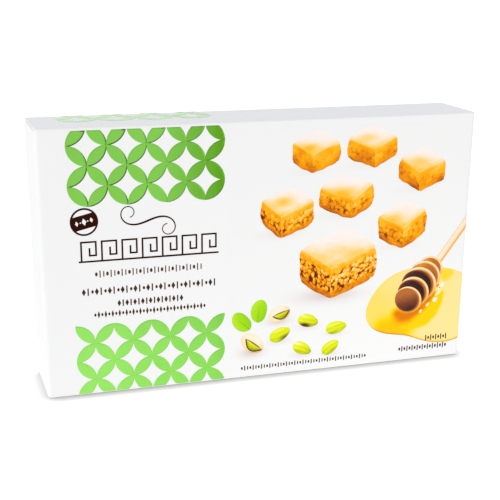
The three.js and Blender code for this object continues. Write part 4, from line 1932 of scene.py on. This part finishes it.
@dataclass(frozen=True)
class GroundShade:
    """The printed shade under the pastries and the nuts: one wash of soft spots."""

    left: float = 106.0
    right: float = 257.5
    high: float = 4.0
    low: float = 149.0
    columns: int = 150
    rows: int = 142
    fade: float = 0.03

    def field(self, spots: Sequence[Spot]) -> Field:
        """The wash: the sum of a bell shape for each spot, faded out towards the wash's edge.

        Args:
            spots: for each, its x, down, the two radii and its strength.

        Returns:
            The field.
        """
        u, v = unit_grid(self.columns, self.rows)
        x = self.left + u * (self.right - self.left)
        down = self.high + v * (self.low - self.high)
        tone = np.zeros_like(x)
        for spot_x, spot_down, radius_x, radius_down, strength in spots:
            away = ((x - spot_x) / radius_x) ** 2 + ((down - spot_down) / radius_down) ** 2
            tone = tone + strength * np.exp(-away)
        edge = np.minimum(np.minimum(u, 1.0 - u), np.minimum(v, 1.0 - v))
        return Field(x, down, np.clip(tone, 0.0, 1.0) * smooth_step(edge, 0.0, self.fade))


PASTRIES = (
    PastrySlice(1, lean=0.5, focus=0.15),
    PastrySlice(2, lean=-0.4, focus=0.2),
    PastrySlice(3, lean=0.3, focus=0.2),
    PastrySlice(4, lean=-0.7, focus=0.45),
    PastrySlice(5, lean=0.8, focus=0.6),
    PastrySlice(6, lean=-0.2, focus=0.35),
    PastrySlice(7, lean=0.6, focus=1.0),
)
KERNELS = (
    Kernel(1, 14.0, 8.4, 24.0, 0.4),
    Kernel(2, 13.5, 8.2, -16.0, 0.75),
    Kernel(3, 13.5, 8.0, 8.0, 0.15),
    Kernel(4, 13.0, 7.6, -28.0, 0.2),
    Kernel(5, 12.5, 7.6, 34.0, 0.12),
)
OPEN_NUTS = (OpenNut(1, 16.0, 11.0, -38.0), OpenNut(2, 14.0, 9.6, 18.0))
LEAVES = (Leaf(1, 14.5, 9.8, 134.0), Leaf(2, 14.5, 10.0, 80.0))


def shade_spots() -> list[Spot]:
    """Spots of shade, one under each pastry and each nut: x, down, two radii and strength."""
    spots = []
    for pastry in PASTRIES:
        x, down, width, height = node_place(f"print_pastry_{pastry.number}")
        strength = 0.1 + 0.5 * pastry.focus**3
        place = (x - 0.12 * width, down + 0.42 * height)
        spots.append((*place, 0.36 * width, 0.09 * height, strength))
    for kind, nuts, strength in (("kernel", KERNELS, 0.3), ("open_nut", OPEN_NUTS, 0.6)):
        for nut in nuts:
            x, down, width, height = node_place(f"print_{kind}_{nut.number}")
            spots.append((x - 0.5, down + 0.44 * height, 0.5 * width, 0.24 * height, strength))
    return spots


# --- Studio ---


@dataclass(frozen=True)
class Softbox:
    """A rectangular area light that looks at a point."""

    name: str
    place: Point
    target: Point
    size: tuple[float, float]
    watts: float
    colour: Colour = (1.0, 1.0, 1.0)

    def build(self) -> None:
        """Adds the light: its own -Z axis runs from its place to its target."""
        lamp = bpy.data.lights.new(self.name, "AREA")
        lamp.shape = "RECTANGLE"
        lamp.size, lamp.size_y = self.size
        lamp.energy = self.watts
        lamp.color = self.colour
        holder = link_object(self.name, lamp)
        holder.location = self.place
        aim = Vector(self.target) - Vector(self.place)
        holder.rotation_euler = aim.to_track_quat("-Z", "Y").to_euler()
        holder.visible_camera = False


@dataclass(frozen=True)
class Studio:
    """A lit white table, a white surround, softboxes and the camera.

    The table lights the carton a little more from a round pool under it. Seen directly, it is
    evenly white and shaded within contact_reach of what stands on it.
    """

    zenith_colour: Colour = (1.12, 1.13, 1.18)
    front_colour: Colour = (0.925, 0.922, 0.92)
    rear_colour: Colour = (0.92, 0.92, 0.95)
    floor_colour: Colour = (0.12, 0.12, 0.12)
    floor_glow: float = 1.02
    pool_glow: float = 0.36
    pool_place: tuple[float, float] = (0.06, -0.06)
    pool_radius: float = 0.34
    contact_reach: float = 0.0092
    contact_power: float = 0.8
    contact_lean: Point = (0.05, 0.55, 0.8)
    contact_samples: int = 16
    seen_glow: float = 1.05
    floor_roughness: float = 0.9
    floor_half: float = 15.0
    lens: float = 78.75
    sensor: float = 36.0
    clip: tuple[float, float] = (0.01, 100.0)
    shift_y: float = 0.162
    camera_place: Point = (-0.1962, -0.6056, 0.2431)
    camera_turn: Point = (70.749, -0.458, -17.574)
    softboxes: tuple[Softbox, ...] = (
        Softbox(
            "key_left", place=(-1.75, -0.75, 0.25), target=(0.0, 0.0, 0.08), size=(1.0, 0.8),
            watts=12.0,
        ),
        Softbox(
            "fill_right", place=(0.35, -0.5, 0.06), target=(0.06, 0.0, 0.06), size=(0.3, 0.12),
            watts=0.24, colour=(1.0, 0.97, 0.93),
        ),
    )

    def build(self) -> None:
        """Sets up the surround, the floor, the lights and the camera."""
        bpy.context.scene.view_settings.view_transform = "Standard"
        self.add_surround()
        self.add_floor()
        for softbox in self.softboxes:
            softbox.build()
        self.add_camera()

    def add_surround(self) -> None:
        """Adds the world's light: its front and rear colours both blend up to the zenith's."""
        world = bpy.data.worlds.new("white_surround")
        world.use_nodes = True
        light = NodeWork(world.node_tree)
        direction = light.add("TexCoord")
        height = light.add("SeparateXYZ")
        light.feed(height.inputs[0], direction.outputs["Generated"])
        rearness = light.math("MULTIPLY_ADD", height.outputs["Y"], 0.5, 0.5)
        horizon = light.mix(rearness, self.front_colour, self.rear_colour)
        sky = light.mix(height.outputs["Z"], horizon, self.zenith_colour)
        light.feed(light.tree.nodes["Background"].inputs["Color"], sky)
        bpy.context.scene.world = world

    def floor_finish(self) -> Material:
        """The table's material: its light is strongest in the pool, and its face dims at contacts.

        The dimming is ambient occlusion about a leaning normal, to a power.
        """
        finish = Finish("floor_white")
        scale = 1.0 / self.pool_radius
        pool_x, pool_y = self.pool_place
        centred = finish.add("Mapping")
        centred.inputs["Scale"].default_value = (scale, scale, scale)
        centred.inputs["Location"].default_value = (-pool_x * scale, -pool_y * scale, 0.0)
        finish.feed(centred.inputs["Vector"], finish.place())
        pool = finish.add("TexGradient", gradient_type="SPHERICAL")
        finish.feed(pool.inputs["Vector"], centred.outputs[0])
        glow = finish.math("MULTIPLY_ADD", pool.outputs["Fac"], self.pool_glow, self.floor_glow)

        lean = finish.add("CombineXYZ")
        for axis, share in zip("XYZ", self.contact_lean):
            finish.feed(lean.inputs[axis], share)
        nearness = finish.add("AmbientOcclusion", samples=self.contact_samples)
        finish.feed(nearness.inputs["Distance"], self.contact_reach)
        finish.feed(nearness.inputs["Normal"], lean.outputs[0])
        contact = finish.math("POWER", nearness.outputs["AO"], self.contact_power)
        shaded = finish.math("MULTIPLY", contact, self.seen_glow)
        ray = finish.add("LightPath")
        strength = finish.add("Mix", data_type="FLOAT")
        finish.feed(strength.inputs[0], ray.outputs["Is Camera Ray"])
        finish.feed(strength.inputs[2], glow)
        finish.feed(strength.inputs[3], shaded)
        finish.set(Base_Color=self.floor_colour, Roughness=self.floor_roughness)
        finish.set(Specular_IOR_Level=0.0, Emission_Color=(1.0, 1.0, 1.0))
        finish.set(Emission_Strength=strength.outputs[0])
        return finish.material

    def add_floor(self) -> None:
        """Adds the floor, a wide white sheet just under the carton."""
        reach = self.floor_half
        mesh = bpy.data.meshes.new("floor")
        turns = ((-1, -1), (1, -1), (1, 1), (-1, 1))
        corners = [(reach * x, reach * y, 0.0) for x, y in turns]
        mesh.from_pydata(corners, [], [(0, 1, 2, 3)])
        mesh.materials.append(self.floor_finish())
        floor = link_object("floor", mesh)

    def add_camera(self) -> None:
        """Adds the camera and makes it the scene's."""
        lens = bpy.data.cameras.new("camera")
        lens.lens = self.lens
        lens.sensor_width = self.sensor
        lens.shift_y = self.shift_y
        lens.clip_start, lens.clip_end = self.clip
        camera = link_object("camera", lens)
        camera.location = self.camera_place
        camera.rotation_euler = tuple(math.radians(angle) for angle in self.camera_turn)
        bpy.context.scene.camera = camera


# --- Assembly ---


def foil_lattices() -> list[tuple[FoilLattice, tuple[str, ...]]]:
    """The three blocks of foil, each with the CAD nodes that it stands for."""
    height = WRAP.height
    upper = FoilLattice(
        name="foil_lattice_upper", step=11.045, left=16.37, origin=height, direction=-1,
        first_row=-1.22, rows=4, parity=1, low_cut=1.75, high_cut=height / 2.0,
        shade=(0.4, 0.53, 0.0),
    )
    lower = replace(
        upper, name="foil_lattice_lower", step=10.9, left=17.46, first_row=111.4, parity=0,
        low_cut=height / 2.0, high_cut=height - 0.5, shade=(0.5, 0.27, -0.15), shade_from=14.0,
        edge_shadow_strength=0.1,
    )
    rear = replace(
        upper, name="foil_lattice_rear", direction=1, first_row=19.5, rows=6, low_cut=0.0,
        high_cut=height, shade=(0.1, 0.2, 0.0), edge_shadow_strength=0.2,
    )
    return [(upper, ("foil_upper",)), (lower, ("foil_lower",)), (rear, ("foil_top", "foil_back"))]


@dataclass(frozen=True)
class PrintPiece:
    """One printed piece: its name, slot, fields and inks, and whether it stands for a CAD node."""

    name: str
    slot: str
    fields: list[Field]
    inks: tuple[Ink, ...]
    has_node: bool = True

    @property
    def nodes(self) -> tuple[str, ...]:
        """The CAD node that the piece stands for, which has its name."""
        return (self.name,) if self.has_node else ()


def print_pieces() -> list[PrintPiece]:
    """Every printed piece of the front panel, in the order of printing."""
    random = np.random.default_rng(SEED)
    shade = GroundShade().field(shade_spots())
    ornaments = ornament_fields()
    pieces = [
        PrintPiece("print_ground_shade", "ink_shell", [shade], (Ink.SHADE,), has_node=False),
        PrintPiece("print_seal", "ink_brown", Seal().fields(), (Ink.BROWN, Ink.PAPER)),
        PrintPiece("print_key_frieze", "ink_brown", KeyFrieze().fields(), (Ink.BROWN,)),
        PrintPiece("print_ornament_lines", "ink_brown", ornaments, (Ink.BROWN,), has_node=False),
    ]
    for pastry in PASTRIES:
        name = f"print_pastry_{pastry.number}"
        pieces.append(PrintPiece(name, "ink_pastry", pastry.fields(random), (Ink.PASTRY,)))
    for kind, slot, drawings, inks in (
        ("kernel", "ink_kernel", KERNELS, (Ink.KERNEL,)),
        ("open_nut", "ink_shell", OPEN_NUTS, (Ink.SHELL, Ink.KERNEL)),
        ("leaf", "ink_leaf", LEAVES, (Ink.LEAF,)),
    ):
        for drawing in drawings:
            name = f"print_{kind}_{drawing.number}"
            pieces.append(PrintPiece(name, slot, drawing.fields(), inks))
    pieces.append(PrintPiece("print_honey_pool", "ink_honey", HoneyPool().fields(), (Ink.HONEY,)))
    pieces.append(PrintPiece("print_dipper", "ink_wood", Dipper().fields(), (Ink.WOOD,)))
    return pieces


def main() -> None:
    """Builds every class in order and hangs each piece on the frame."""
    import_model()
    Studio().build()
    grain = paper_grain_group()
    pattern = print_pattern_group()
    board = BoardFinish().build(grain)
    core = CoreFinish().build()
    foil = FoilFinish().build()
    inks = {ink: ink.value.build(grain, pattern) for ink in Ink}

    join_frame(CartonSleeve().build(board), "board", "carton")
    for direction in (-1, 1):
        join_frame(EndFlap(direction).build(board, core), "board", "carton")
    for lattice, nodes in foil_lattices():
        join_frame(lattice.build(foil), "foil", *nodes)
    for piece in print_pieces():
        skins = [one.skin() for one in piece.fields]
        printed_piece = build_mesh(piece.name + "_ink", skins, [inks[ink] for ink in piece.inks])
        join_frame(printed_piece, piece.slot, *piece.nodes)


if __name__ == "__main__":
    main()
